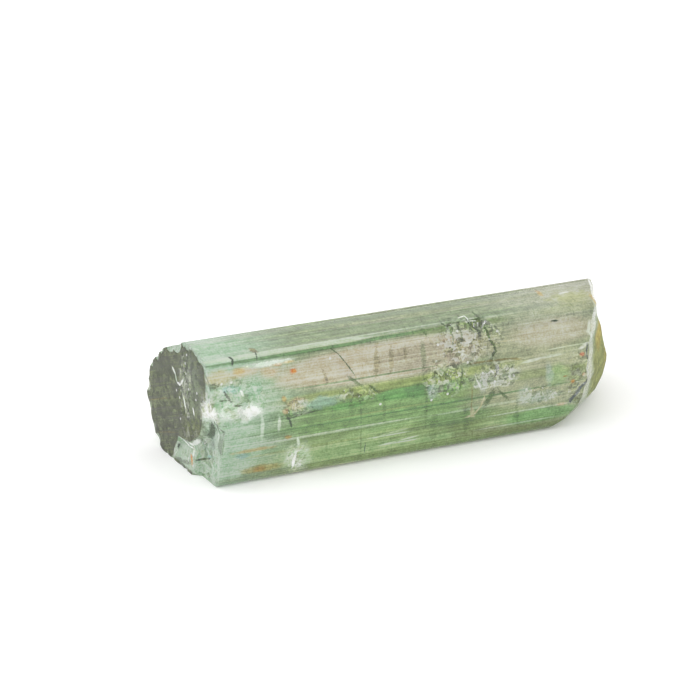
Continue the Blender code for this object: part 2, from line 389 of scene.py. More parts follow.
def zone(tree, place, centre, half_size, strength, softness, ragged, raggedness, turn=(0, 0, 0)):
    """A mask with this strength inside an ellipsoid and 0 outside; a noise makes its soft edge ragged."""
    reached = [part * ZONE_REACH for part in half_size]
    inputs = {"Vector": place, "Location": centre, "Rotation": turn, "Scale": reached}
    local = add(tree, "ShaderNodeMapping", inputs, vector_type="TEXTURE").outputs["Vector"]
    near = add(tree, "ShaderNodeTexGradient", {"Vector": local}, gradient_type="SPHERICAL").outputs["Fac"]
    inputs = {0: ragged, 1: -raggedness / ZONE_REACH, 2: near}
    near = add(tree, "ShaderNodeMath", inputs, operation="MULTIPLY_ADD").outputs[0]
    edge = 1 - (1 + raggedness / 2) / ZONE_REACH
    half_soft = softness / 2 / ZONE_REACH
    inputs = {"Value": near, "From Min": edge - half_soft, "From Max": edge + half_soft, "To Max": strength}
    return add(tree, "ShaderNodeMapRange", inputs, **SMOOTH).outputs["Result"]


def joined(tree, masks):
    """One mask, on wherever any of these is. None among them stands for a mask that isn't there yet."""
    whole = None
    for mask in masks:
        if whole is not None:
            mask = add(tree, "ShaderNodeMath", {0: whole, 1: mask}, operation="MAXIMUM").outputs[0]
        whole = mask
    return whole


def two_tone(tree, pattern, dark, pale):
    """A colour that goes from dark to pale as a pattern rises through its middle values."""
    inputs = {"Value": pattern, "From Min": TWO_TONE_FROM, "From Max": TWO_TONE_TO}
    share = add(tree, "ShaderNodeMapRange", inputs, **SMOOTH).outputs["Result"]
    inputs = {0: share, 6: opaque(dark), 7: opaque(pale)}
    return add(tree, "ShaderNodeMix", inputs, **LAID_OVER).outputs[2]


def shade(tree, below, pattern, low, high, top, strength):
    """Lightens and darkens a colour with a pattern, drawn out from black at low to a grey of top at high."""
    inputs = {"Value": pattern, "From Min": low, "From Max": high, "To Max": top}
    grey = add(tree, "ShaderNodeMapRange", inputs, **SMOOTH).outputs["Result"]
    inputs = {0: strength, 6: below, 7: grey}
    return add(tree, "ShaderNodeMix", inputs, **OVERLAY).outputs[2]


# ---------------------------------------------------------------- the crystal's finish

# All places and sizes in this part are in mm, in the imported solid's frame
FLAT_FACE_AT = -19.215  # the flat end face along X

# Growth zones, some of them painted highlights or painted light, laid one over the other: centre, half size,
# softness, raggedness, strength, colour name
GROWTH_ZONES = (
    ((-19.5, -4, 6), (6.5, 9, 8), 0.9, 0.7, 0.85, "teal_haze"),
    ((-3, -7, 4.2), (11.5, 3, 2.4), 0.5, 1.1, 0.9, "leaf_green"),
    # the foot of the front: sap green, painted paler to stand in for light that comes up through it from the
    # floor
    ((-2, -7, 1.6), (13.0, 3, 1.7), 0.5, 1.1, 0.8, "sap_green_and_painted_light"),
    ((9, -7, 4.8), (6.5, 3, 2.6), 0.6, 1.1, 0.9, "straw"),
    ((-3, -6.6, 6.3), (10.0, 2, 0.45), 0.5, 1.0, 0.8, "olive"),
    ((-4.5, -6, 8.2), (9.5, 2, 1.5), 0.35, 0.8, 0.95, "beige"),
    ((-0.5, -5.9, 8.0), (5.5, 1.0, 1.0), 0.7, 1.0, 0.5, "taupe"),
    ((9, -6, 8.2), (6.5, 2, 1.2), 0.5, 0.8, 0.7, "straw"),
    ((-7, -5.3, 9.78), (13.5, 0.9, 0.11), 0.5, 0.9, 0.85, "deep_green"),
    ((2.5, -5.1, 9.7), (4.5, 0.9, 0.22), 0.5, 1.1, 0.55, "moss_green"),
    # a painted highlight along the upper edge
    ((-8, -4.8, 10.0), (14.0, 0.6, 0.10), 0.5, 0.8, 0.8, "pale_line_and_sheen"),
    ((13.0, -5.2, 9.8), (3.6, 0.9, 0.3), 0.5, 0.9, 0.8, "olive"),
    ((15.5, -1, 10.5), (6.0, 5, 2.0), 0.7, 0.8, 0.8, "milk"),
    ((10, -3.0, 10.4), (4.5, 1.2, 1.0), 0.7, 0.8, 0.5, "milk"),
    ((9.5, -5.2, 9.0), (3.6, 1.8, 1.2), 0.7, 0.9, 0.55, "milk"),
    ((-15.8, -5.5, 8.7), (3.4, 1.0, 0.55), 0.6, 0.9, 0.6, "milk"),
    ((0.8, -6.2, 2.2), (7.0, 1.0, 0.7), 0.7, 1.1, 0.5, "moss_green"),
    ((-9.6, -6.3, 2.9), (3.4, 1.0, 0.5), 0.7, 1.1, 0.4, "moss_green"),
    ((6.5, -6.1, 1.0), (4.6, 0.9, 0.5), 0.7, 1.1, 0.5, "taupe"),
    ((-2.0, -6.0, 0.55), (17.0, 1.2, 0.35), 0.6, 0.9, 0.6, "moss_green"),
    ((10.2, -5.8, 8.3), (3.6, 1.0, 1.0), 0.7, 0.9, 0.6, "beige"),
    ((2.6, -6.2, 1.7), (1.6, 0.9, 0.8), 0.7, 1.1, 0.5, "moss_green"),
    ((8.0, -6.5, 5.35), (6.2, 1.0, 0.35), 0.6, 1.1, 0.6, "moss_green"),
    ((12.0, -6.5, 4.9), (1.0, 1.0, 0.6), 0.6, 1.0, 0.5, "moss_green"),
    ((2.0, -6.5, 4.7), (2.0, 1.0, 0.35), 0.6, 1.0, 0.5, "moss_green"),
    ((-3.4, -6.5, 5.55), (2.0, 1.0, 0.45), 0.5, 1.0, 0.9, "vivid_green"),
    ((-1.9, -6.5, 5.5), (1.1, 1.0, 0.6), 0.5, 0.8, 0.8, "deep_green"),
    ((-8.0, -6.5, 5.3), (1.4, 1.0, 0.25), 0.5, 1.0, 0.8, "vivid_green"),
    ((1.5, -6.3, 2.6), (3.4, 1.0, 0.6), 0.6, 1.0, 0.5, "deep_green"),
    ((9.0, -6.2, 1.6), (3.4, 1.0, 0.6), 0.6, 1.0, 0.7, "vivid_green"),
    ((10.3, -6.6, 4.9), (0.9, 0.8, 0.9), 0.7, 0.8, 0.6, "sap_green_and_painted_light"),
    ((-6.5, -6.0, 7.15), (6.5, 0.8, 0.06), 0.5, 0.9, 0.7, "deep_green"),
    ((-2.0, -6.5, 4.1), (13.0, 0.9, 0.09), 0.5, 1.0, 0.8, "deep_green"),
    ((-5.0, -6.5, 4.4), (5.5, 0.9, 0.05), 0.5, 1.0, 0.6, "olive"),
    ((-9.0, -6.4, 3.3), (7.0, 0.9, 0.12), 0.5, 1.0, 0.5, "pale_line_and_sheen"),
    ((5.5, -6.3, 3.2), (6.0, 0.9, 0.10), 0.5, 1.0, 0.5, "pale_line_and_sheen"),
    ((-11.0, -6.2, 2.3), (5.5, 0.9, 0.12), 0.5, 1.0, 0.5, "olive"),
    # bright streaks low on the front: painted highlights where the grooves catch the light
    ((-4.2, -6.1, 2.13), (1.9, 0.7, 0.06), 0.5, 0.6, 0.8, "pale_line_and_sheen"),
    ((-3.3, -6.0, 1.34), (1.6, 0.7, 0.06), 0.5, 0.6, 1.0, "pale_line_and_sheen"),
    ((8.5, -6.1, 2.2), (4.0, 0.9, 0.06), 0.5, 0.9, 0.7, "pale_line_and_sheen"),
    ((7.0, -6.0, 1.2), (3.4, 0.9, 0.06), 0.5, 0.9, 0.6, "pale_line_and_sheen"),
    ((0.0, 6.0, 6.0), (16.0, 2.0, 2.0), 0.6, 1.1, 0.8, "leaf_green"),
    ((-6.0, 5.0, 2.5), (9.0, 2.0, 0.9), 0.6, 1.1, 0.8, "straw"),
)

# Where the surface is broken into small cleaved facets, which also get painted sparkles: centre, half size,
# strength
BROKEN_ZONES = (
    ((2.8, -5.4, 8.6), (2.7, 1.8, 1.9), 0.9),
    ((4.9, -6.4, 5.6), (2.1, 1.2, 1.0), 1.0),
    ((0.6, -6.4, 6.2), (1.9, 0.9, 1.5), 0.9),
    ((-7.0, -6.3, 6.0), (2.0, 0.9, 0.6), 0.7),
    ((-12.2, -6.4, 5.8), (1.3, 0.8, 0.7), 0.8),
    ((-16.9, -6.1, 7.2), (2.4, 1.6, 1.7), 0.55),
    ((-19.2, -5.6, 6.2), (0.7, 1.5, 1.6), 1.0),
    ((-19.2, -1.2, 6.9), (0.5, 1.3, 2.5), 0.9),
    ((-19.0, -3.2, 1.8), (0.8, 3.2, 2.4), 0.6),
    ((9.0, -6.4, 3.4), (1.9, 0.9, 0.9), 0.7),
    ((-12.2, -6.0, 1.6), (0.8, 1.0, 1.2), 0.8),
    ((12.4, -6.3, 4.4), (1.1, 0.9, 2.4), 0.6),
    ((-5.0, 5.5, 6.0), (3.0, 2.0, 2.4), 0.7),
    ((9.0, 5.5, 4.0), (2.6, 2.0, 1.8), 0.8),
)

WHITE, PALE, MOSS, BOTTLE, INK = "FFFFFF", "E4EDE2", "4F7038", "2E4630", "2C3F56"
RUST, AMBER, PEACH, EARTH, SAND = "F09A38", "E6BE62", "F3D6B4", "8A7A3C", "E6DDB8"
CRUSHED = (WHITE, PALE)  # marks of these colours are crushed crystal

# Lines on and just under the surface, a few of them painted highlights: their points, half width, strength,
# colour
LINES = (
    # cracks through the middle of the crystal
    (
        ((4.1, -3.8, 10.3), (4.2, -4.6, 10.1), (4.4, -5.3, 9.7), (4.7, -5.7, 8.4), (5.0, -5.8, 8.0)),
        0.10,
        0.9,
        MOSS,
    ),
    (((5.0, -5.8, 8.0), (5.1, -6.0, 7.5), (4.7, -6.1, 7.2), (4.6, -6.2, 6.8)), 0.13, 0.75, MOSS),
    (((3.2, -4.7, 10.0), (3.4, -5.2, 9.8), (3.8, -5.4, 9.5), (3.9, -5.6, 8.9)), 0.15, 0.7, BOTTLE),
    (((2.6, -4.3, 10.1), (3.2, -4.2, 10.2), (3.3, -4.8, 10.0), (3.9, -4.9, 10.0)), 0.07, 0.6, WHITE),
    (((2.1, -4.9, 10.0), (2.4, -5.4, 9.4), (2.2, -5.7, 8.5)), 0.08, 0.6, MOSS),
    (((-0.8, -4.9, 10.0), (-0.6, -5.2, 9.6)), 0.16, 0.7, MOSS),
    (((0.9, -4.5, 10.1), (1.4, -5.1, 9.8), (1.6, -5.5, 9.0), (1.3, -5.9, 8.0)), 0.07, 0.7, MOSS),
    (
        ((2.9, -6.2, 6.9), (4.2, -6.2, 6.9), (4.8, -6.2, 6.85), (6.3, -6.2, 6.8), (7.2, -6.2, 6.6)),
        0.09,
        0.75,
        EARTH,
    ),
    (((4.15, -6.4, 3.5), (4.55, -6.5, 4.3)), 0.27, 0.8, MOSS),
    (((5.2, -6.5, 4.4), (6.0, -6.4, 3.5)), 0.12, 0.8, MOSS),
    (((2.7, -6.6, 5.4), (2.9, -6.2, 2.5)), 0.05, 0.6, EARTH),
    (((2.5, -6.2, 2.4), (3.1, -6.2, 2.5), (3.7, -6.3, 3.3), (3.9, -6.5, 4.1)), 0.08, 0.8, SAND),
    (((2.9, -6.3, 3.1), (3.1, -6.2, 2.5)), 0.20, 0.6, SAND),
    (((-0.1, -6.6, 5.2), (1.7, -6.6, 5.05), (1.8, -6.5, 5.6), (2.1, -6.2, 6.6)), 0.09, 0.7, MOSS),
    (((0.1, -6.2, 7.0), (0.9, -6.4, 6.1)), 0.12, 0.6, MOSS),
    (((3.1, -6.4, 5.9), (3.5, -6.6, 4.8), (4.6, -6.6, 4.9), (5.9, -6.6, 4.7)), 0.06, 0.4, WHITE),
    (((4.5, -6.4, 6.2), (5.0, -6.5, 5.6)), 0.07, 0.5, WHITE),
    (((5.5, -5.8, 8.2), (7.5, -5.8, 8.1)), 0.045, 0.8, SAND),
    # faint cracks that cross the lower front, and two painted highlights along its grooves
    (((-6.9, -6.6, 5.4), (-6.75, -6.4, 3.4), (-6.6, -6.0, 1.0)), 0.07, 0.28, BOTTLE),
    (((-1.3, -6.2, 6.6), (-1.2, -6.5, 4.4), (-1.1, -6.2, 2.4)), 0.13, 0.4, MOSS),
    (((-0.4, -6.3, 3.2), (-0.3, -6.0, 1.0)), 0.35, 0.35, MOSS),
    (((-7.8, -6.5, 5.9), (-7.6, -6.5, 4.6)), 0.25, 0.35, MOSS),
    (((-4.9, -6.5, 5.4), (-4.8, -6.4, 3.6)), 0.12, 0.4, MOSS),
    (((2.3, -6.3, 3.2), (2.5, -6.1, 1.4)), 0.25, 0.35, MOSS),
    (((6.9, -6.3, 3.0), (7.0, -6.1, 1.4)), 0.15, 0.35, MOSS),
    # two bright streaks: painted highlights where the grooves catch the light
    (((-4.9, -6.1, 1.3), (-3.4, -6.1, 1.45), (-1.8, -6.1, 1.6)), 0.06, 0.95, "EDF8DF"),
    (((-5.6, -6.2, 2.0), (-4.4, -6.2, 2.2), (-2.6, -6.2, 2.3)), 0.05, 0.7, "DDF0C8"),
    (((5.3, -5.4, 9.4), (5.35, -5.5, 9.2)), 0.12, 0.7, MOSS),
    # cracks towards the flat end
    (((-8.9, -5.3, 9.8), (-8.3, -5.5, 9.3), (-7.8, -5.7, 8.6), (-7.1, -6.0, 7.5)), 0.05, 0.85, MOSS),
    (((-7.6, -6.0, 7.4), (-6.5, -6.2, 6.5)), 0.12, 0.7, MOSS),
    (((-5.9, -6.2, 6.5), (-5.4, -6.3, 6.0)), 0.10, 0.8, MOSS),
    (((-2.6, -5.6, 9.1), (-2.7, -5.9, 8.0)), 0.12, 0.4, EARTH),
    (((-1.1, -5.6, 9.0), (-1.2, -6.0, 7.2)), 0.22, 0.45, MOSS),
    (((-9.7, -5.8, 8.2), (-9.4, -6.0, 7.2)), 0.12, 0.45, EARTH),
    (((-5.1, -5.6, 9.0), (-5.3, -5.95, 7.2)), 0.22, 0.5, EARTH),
    (((-3.8, -5.6, 9.0), (-4.0, -6.0, 7.4)), 0.20, 0.4, EARTH),
    (((-17.0, -4.7, 10.1), (-16.9, -5.0, 9.95), (-17.0, -5.3, 9.85)), 0.10, 1.0, BOTTLE),
    (((-14.9, -4.1, 10.2), (-14.8, -4.4, 10.1)), 0.24, 0.75, EARTH),
    (((-14.8, -4.5, 10.1), (-14.9, -5.0, 10.0), (-15.0, -5.3, 9.7)), 0.06, 0.85, BOTTLE),
    (((-17.3, -6.2, 6.7), (-16.7, -6.2, 6.6)), 0.07, 0.8, MOSS),
    (((-18.3, -6.0, 7.2), (-17.9, -6.1, 7.2)), 0.07, 0.7, MOSS),
    (((-17.9, -5.9, 7.7), (-17.5, -6.1, 7.1)), 0.12, 0.85, BOTTLE),
    (((-16.6, -5.9, 7.7), (-16.4, -6.0, 7.3)), 0.10, 0.7, WHITE),
    (((-13.1, -6.6, 5.2), (-12.9, -6.6, 5.0), (-12.7, -6.5, 4.4)), 0.09, 0.85, BOTTLE),
    (((-12.9, -6.6, 5.1), (-11.7, -6.6, 5.25), (-10.5, -6.6, 5.35)), 0.06, 0.7, BOTTLE),
    # a white lens of crushed crystal, with a painted highlight on it
    (((-12.2, -6.0, 1.8), (-12.35, -6.0, 0.9)), 0.15, 1.0, WHITE),
    (((-12.4, -6.2, 2.1), (-11.8, -6.1, 2.2)), 0.15, 0.7, PALE),
    (((-12.1, -6.3, 3.2), (-12.0, -6.3, 2.7)), 0.13, 0.6, PALE),
    # the break's side
    (((9.6, -6.1, 6.95), (11.4, -6.1, 7.0), (13.2, -6.1, 7.0)), 0.05, 0.45, PALE),
    (((7.4, -6.3, 6.3), (9.0, -6.3, 6.45), (10.8, -6.3, 6.5)), 0.12, 0.4, PALE),
    (((12.6, -6.2, 6.7), (13.2, -6.1, 6.95)), 0.15, 0.5, WHITE),
    (((13.56, -5.7, 8.5), (13.4, -5.9, 7.8), (13.9, -5.5, 7.2)), 0.16, 0.6, PALE),
    (
        ((13.2, -6.1, 6.9), (13.1, -6.4, 6.1), (13.2, -6.5, 5.5), (13.2, -6.6, 4.7), (13.3, -6.5, 4.0)),
        0.06,
        0.8,
        INK,
    ),
    (((13.1, -6.4, 3.9), (12.6, -6.4, 3.4), (12.2, -6.3, 2.8), (11.8, -6.2, 2.3)), 0.17, 0.9, INK),
    (((12.3, -6.4, 3.9), (12.2, -6.4, 3.5), (11.8, -6.4, 3.5)), 0.07, 0.8, INK),
    (((10.3, -5.5, 9.08), (10.8, -5.5, 9.05)), 0.07, 1.0, BOTTLE),
    (((12.2, -3.2, 10.4), (13.0, -3.2, 10.45)), 0.08, 0.55, WHITE),
    (((-6.25, -6.1, 1.7), (-6.3, -6.0, 0.9)), 0.05, 0.7, INK),
    # the flat end
    (((-19.2, 6.1, 3.3), (-19.2, 2.1, 4.85)), 0.06, 0.5, EARTH),
    (((-19.2, 4.4, 1.2), (-19.2, 0.6, 2.5)), 0.06, 0.5, EARTH),
    # pale and white strokes in the middle of the flat end: crushed crystal with painted sparkles
    (((-19.2, 1.2, 7.6), (-19.2, 0.7, 7.3), (-19.2, 0.46, 6.8)), 0.13, 0.8, PALE),
    (((-19.2, 0.3, 6.7), (-19.2, -0.2, 6.7), (-19.2, -0.85, 7.3)), 0.12, 0.75, WHITE),
    (((-19.2, -0.7, 6.1), (-19.2, -1.0, 5.7), (-19.2, -1.2, 5.2)), 0.14, 0.8, PALE),
    (((-19.2, -2.7, 5.6), (-19.2, -2.9, 5.2)), 0.10, 0.9, WHITE),
    # the flat end's chips, with painted highlights on the notch
    # white lines on the notch's edge and wall: painted highlights, frosted as crushed crystal too
    (((-19.1, 0.4, 2.3), (-18.75, 0.3, 1.95), (-18.73, -1.0, 1.85), (-18.71, -2.0, 1.95)), 0.05, 0.9, WHITE),
    (((-18.8, -0.9, 2.1), (-18.75, -1.7, 2.2), (-19.0, -3.2, 3.2)), 0.13, 0.85, WHITE),
    (((-18.7, -1.8, 2.1), (-18.8, -1.9, 1.4)), 0.16, 0.7, PALE),
    (((-19.1, 0.7, 1.5), (-19.15, 1.3, 0.4)), 0.14, 0.7, PALE),
    (((-18.99, 0.68, 1.5), (-18.93, 0.85, 1.05)), 0.06, 0.9, BOTTLE),
    (((-19.0, 0.9, 0.25), (-19.0, -0.25, 0.4), (-18.92, -1.8, 0.75)), 0.16, 0.7, "54604A"),
    (((-19.1, 0.0, 0.1), (-19.06, -2.1, 0.1)), 0.13, 0.7, "54604A"),
    (((-18.83, -1.6, 1.25), (-18.92, -2.0, 0.8)), 0.16, 0.9, RUST),
    (((-18.94, -4.9, 4.9), (-18.8, -4.8, 4.4), (-18.55, -4.45, 3.8)), 0.22, 0.9, "4A5C42"),
    (((-18.7, -3.3, 3.1), (-18.6, -3.4, 2.0)), 0.35, 0.55, "5C7C68"),
    (((-18.5, -4.6, 3.5), (-18.6, -4.4, 2.4)), 0.40, 0.55, "6B8C78"),
    (((-18.84, -2.5, 1.25), (-18.76, -3.6, 1.65), (-18.7, -4.2, 1.95)), 0.09, 0.9, BOTTLE),
    (((-18.75, -3.3, 1.75), (-18.64, -4.6, 2.25)), 0.12, 0.7, "8FC0B0"),
    (((-18.6, -5.7, 5.2), (-18.4, -5.5, 4.4), (-18.4, -5.6, 3.7)), 0.10, 0.7, PALE),
    (((-18.5, -6.5, 5.2), (-18.3, -6.1, 4.2), (-18.4, -6.2, 3.0)), 0.08, 0.6, MOSS),
    (((-19.15, -5.0, 9.2), (-19.1, -5.5, 8.7), (-19.1, -5.8, 8.1)), 0.09, 0.6, MOSS),
    (((-19.0, 2.3, 9.4), (-19.0, 0.6, 9.9)), 0.30, 0.5, PALE),
)

# Stains and spots: centre, half size, strength, colour
SPOTS = (
    ((-12.1, -5.7, 8.5), (0.26, 0.6, 0.17), 1.0, RUST),
    ((-13.4, -5.5, 9.2), (0.55, 0.6, 0.13), 0.55, RUST),
    ((-12.5, -5.4, 9.25), (0.5, 0.6, 0.10), 0.8, AMBER),
    ((-14.1, -5.6, 8.7), (0.7, 0.6, 0.40), 0.6, PEACH),
    ((-16.2, -5.5, 9.0), (1.2, 0.7, 0.32), 0.6, PEACH),
    ((-16.6, -5.5, 9.1), (0.5, 0.7, 0.2), 0.6, AMBER),
    ((-13.9, -5.4, 9.35), (1.9, 0.7, 0.20), 0.8, PALE),
    ((-18.2, -5.6, 8.9), (1.2, 0.8, 0.50), 0.8, SAND),
    ((-17.9, -5.9, 7.9), (0.7, 0.7, 0.25), 0.5, PALE),
    ((-17.4, -5.8, 7.9), (0.6, 0.7, 0.3), 0.5, "BFD6E2"),
    ((-15.6, -5.8, 7.9), (1.7, 0.8, 0.8), 0.5, "BFE0C8"),
    ((-16.0, -6.4, 6.05), (0.85, 0.8, 0.5), 0.85, WHITE),
    ((-16.6, -6.5, 5.5), (0.35, 0.8, 0.22), 0.5, WHITE),
    ((-17.6, -6.3, 6.3), (1.1, 0.9, 0.6), 0.7, PALE),
    ((-15.15, -6.5, 4.8), (0.14, 0.8, 1.1), 0.4, WHITE),
    ((-13.75, -6.5, 4.8), (0.13, 0.8, 0.6), 0.45, WHITE),
    ((-19.1, -5.3, 6.0), (0.5, 1.1, 0.95), 1.0, WHITE),
    ((-13.15, -6.3, 6.6), (0.2, 0.6, 0.2), 0.7, AMBER),
    ((-13.15, -6.5, 5.7), (0.25, 0.6, 0.2), 0.8, PEACH),
    ((-12.1, -6.4, 6.0), (0.8, 0.7, 0.45), 0.6, PEACH),
    ((-12.9, -6.4, 3.5), (0.27, 0.6, 0.16), 0.75, "C09846"),
    ((-10.1, -6.4, 5.9), (1.6, 0.7, 0.4), 0.7, "A9CFC0"),
    ((-15.6, -6.3, 2.9), (1.5, 0.7, 0.14), 0.5, AMBER),
    ((-14.9, -6.0, 1.15), (1.6, 0.8, 0.3), 0.75, "BDB060"),
    ((-15.2, -6.0, 1.1), (0.45, 0.7, 0.16), 0.6, "B98A3C"),
    ((-12.0, -6.0, 1.6), (1.1, 0.8, 1.2), 0.5, PALE),
    ((-16.7, -6.2, 2.5), (0.5, 0.7, 0.2), 0.4, "9DC4CE"),
    ((-0.7, -6.6, 5.3), (0.35, 0.7, 0.55), 0.6, "C9DCD6"),
    ((5.0, -6.4, 5.6), (1.7, 0.9, 0.75), 0.5, "E2E8DE"),
    ((3.7, -6.6, 5.2), (0.5, 0.9, 0.55), 0.6, "DCE4DA"),
    ((2.6, -5.5, 9.0), (0.6, 0.9, 0.75), 0.6, "EAE4DA"),
    ((9.0, -6.4, 3.2), (1.4, 0.8, 0.5), 0.6, "D2E2D8"),
    ((7.4, -6.4, 3.6), (0.6, 0.8, 0.8), 0.6, "D5E0D4"),
    ((9.6, -6.6, 5.0), (0.3, 0.8, 0.9), 0.5, "CADCD4"),
    ((11.0, -6.6, 4.7), (0.22, 0.6, 0.07), 1.0, "A8742B"),
    ((11.75, -6.5, 4.15), (0.2, 0.6, 0.16), 0.9, RUST),
    ((12.7, -6.3, 6.2), (0.2, 0.6, 0.15), 0.8, "F2AE80"),
    ((12.7, -6.5, 4.6), (0.15, 0.6, 0.15), 0.8, "F2AE80"),
    ((11.0, -6.2, 2.2), (0.5, 0.6, 0.12), 0.7, PEACH),
    ((10.7, -2.7, 10.5), (0.18, 0.6, 0.35), 0.6, AMBER),
    ((12.9, -4.0, 10.2), (1.8, 0.9, 0.4), 0.7, "C6CC84"),
    ((14.6, -4.6, 10.0), (0.25, 0.9, 0.5), 0.7, AMBER),
    ((15.6, -3.9, 6.7), (0.9, 1.0, 1.2), 0.5, "D0B658"),
    ((17.2, -2.0, 4.0), (0.6, 1.0, 1.2), 0.35, "B9A850"),
    ((14.4, -5.0, 8.4), (0.3, 0.8, 0.9), 0.7, "E8EAE0"),
    ((-19.2, -2.7, 4.2), (0.5, 1.7, 1.8), 0.6, "68732E"),
    ((-19.2, -2.4, 7.2), (0.5, 2.2, 2.6), 0.6, "87967A"),
)

# Single bright points: painted glints, white highlights laid into the colour
PAINTED_GLINTS = (
    (2.1, -5.4, 9.4),
    (0.2, -5.6, 8.7),
    (2.6, -6.1, 7.0),
    (3.8, -6.4, 6.0),
    (5.4, -5.5, 9.0),
    (-0.1, -6.0, 7.5),
    (-0.8, -6.6, 4.6),
    (0.6, -6.6, 4.9),
    (7.6, -6.5, 4.1),
    (4.8, -6.6, 5.2),
    (6.0, -6.4, 6.1),
    (2.2, -5.9, 7.7),
    (6.1, -6.6, 5.4),
    (-9.0, -5.5, 9.0),
    (-18.1, -5.7, 8.4),
    (-17.3, -5.7, 8.4),
    (-5.2, -6.6, 5.0),
    (-19.2, -1.6, 9.6),
    (-19.2, -1.3, 8.8),
    (-19.2, -1.4, 8.0),
    (-19.2, 0.5, 6.0),
    (-19.2, -1.9, 6.9),
    (-19.2, -0.1, 5.6),
    (-19.2, -3.5, 7.1),
    (-19.2, -3.3, 6.5),
    (-19.2, -0.2, 3.9),
    (-18.9, -2.2, 0.7),
    (-18.9, -1.2, 0.95),
    (-18.9, -3.2, 0.4),
)

# The two slanting sides of the break that are stained: centre and half size
STAINED_BREAK = (
    ((16.9, -2.9, 4.8), (3.3, 3.5, 4.2)),
    ((18.4, 1.6, 4.6), (3.6, 5.2, 6.0)),
)

# How each kind of mark fades at its edge and how ragged it is, in its half sizes
SPOT_SOFTNESS, SPOT_RAGGEDNESS = 1.0, 2.2
STROKE_SOFTNESS, STROKE_RAGGEDNESS = 0.7, 1.3
GLINT_SOFTNESS, GLINT_RAGGEDNESS = 0.5, 0.9
BROKEN_SOFTNESS, BROKEN_RAGGEDNESS = 0.5, 1.2
STAIN_SOFTNESS, STAIN_RAGGEDNESS = 0.4, 0.5
STROKE_DEPTH = 0.7
GLINT_RADIUS, GLINT_REACH = 0.10, 0.5  # across the surface, and into it
END_MARKS_TO = -18.35  # a mark before this place along X is on the flat end, and past it on a long face

# The crystal's patterns: the size of a feature along X, Y and Z, then the noise's detail, roughness and seed.
# The real growth lines and grit are finer, and are drawn as coarse as they need to be to show.
STREAKS = ((22, 0.8, 0.8), 5, 0.62, 0)
GROWTH_LINES = ((16, 0.10, 0.10), 2, 0.6, 3)
MOTTLE = ((0.9, 0.6, 0.6), 6, 0.62, 11)
GRIT = ((0.16, 0.12, 0.12), 2, 0.6, 5)
CROSS_BREAKS = ((0.2, 3, 0.7), 3, 0.7, 13)
FACET_WARP = ((0.8, 0.8, 0.8), 2, 0.6, 2)
FACET_WARP_REACH = 0.9

# The flat end: how far its growth lines lean from level, their size and noise, and how deep its colour goes
END_LINES_TURN, END_LINES_SIZE = math.radians(-21), (3, 7, 0.14)
END_LINES_DETAIL, END_LINES_ROUGHNESS = 3.0, 0.65
FLAT_END_DEPTH, FLAT_END_FADE = 0.05, 0.03

# Cleaved facets: the size of a cell and its seed, then how strongly each kind lightens and darkens
FACETS, FACET_CONTRAST = (0.42, 4.0), 0.4
SPLINTERS, SPLINTER_CONTRAST = (0.17, 9.0), 0.6
FACET_TINTS = (("Y", 0.5, 0.9, "8E9A52"), ("Z", 0.6, 1.0, "ECEEE4"))  # the draw it goes by, from, to, colour
FACET_TINT = 0.5  # the most that they tint a facet
# Sparkles are painted highlights: white dots laid into the colour of the cleaved zones
SPARKLE_SIZE, SPARKLE_SEED, SPARKLE_SHARE, SPARKLE_RADIUS = 0.3, 6.0, 0.12, 0.24

# How strongly the growth lines show: by the streaks, and less past this place along X over this length
LINES_GAIN, LINES_OFFSET = 0.8, -0.14
QUIET_FROM, QUIET_OVER, QUIET_SHARE = 3, 8, 0.5
CROSS_BREAKS_CONTRAST = 0.45
MOTTLE_CONTRAST, MOTTLE_CONTRAST_AT_END = 0.18, 0.35

# Smooth faces would mirror the floor, and the real ones are stepped or corroded. So the facets, the growth
# steps of the flat end and the corrosion of the stained break turn the shading, this far along X, Y and Z.
FACET_TILT = 0.7
END_TILT, END_TILT_GAIN, END_TILT_OFFSET = (0, -0.9, 0.35), 0.9, -0.17
STAIN_TILT = (-0.4, -0.5, 0.1)
GRIT_RELIEF = 0.35  # the grit's height, against the growth lines
RELIEF_STRENGTH, RELIEF_HEIGHT = 0.6, 0.00004  # the height in metres

CRUSHED_ROUGHNESS = 0.35  # how much rougher crushed crystal is than the faces
DULLED_SHARE = 0.8  # how much of the clearness the crushed and stained places lose


def stroke(tree, place, start, end, half_width, strength, ragged):
    """A mask along a line on the surface, which goes in as deep as the grooves do."""
    start, end = Vector(start), Vector(end)
    along = (end - start).normalized()
    centre = (start + end) / 2
    on_flat_end = centre.x < END_MARKS_TO
    outward = Vector((-1, 0, 0)) if on_flat_end else Vector((0, centre.y, centre.z - AXIS_HEIGHT / MM))
    outward = (outward - along * outward.dot(along)).normalized()
    turn = Matrix((along, outward.cross(along), outward)).transposed().to_euler()
    half_size = ((end - start).length / 2 + half_width, half_width, STROKE_DEPTH)
    return zone(tree, place, centre, half_size, strength, STROKE_SOFTNESS, ragged, STROKE_RAGGEDNESS, turn)


def growth_colour(tree, place, streaks, look):
    """The long faces' colour: dark and pale streaks, with the growth zones laid over them."""
    colour = two_tone(tree, streaks, look.dark_green, look.pale_green)
    for centre, half_size, softness, raggedness, strength, name in GROWTH_ZONES:
        mask = zone(tree, place, centre, half_size, strength, softness, streaks, raggedness)
        inputs = {0: mask, 6: colour, 7: opaque(getattr(look, name))}
        colour = add(tree, "ShaderNodeMix", inputs, **LAID_OVER).outputs[2]
    return colour


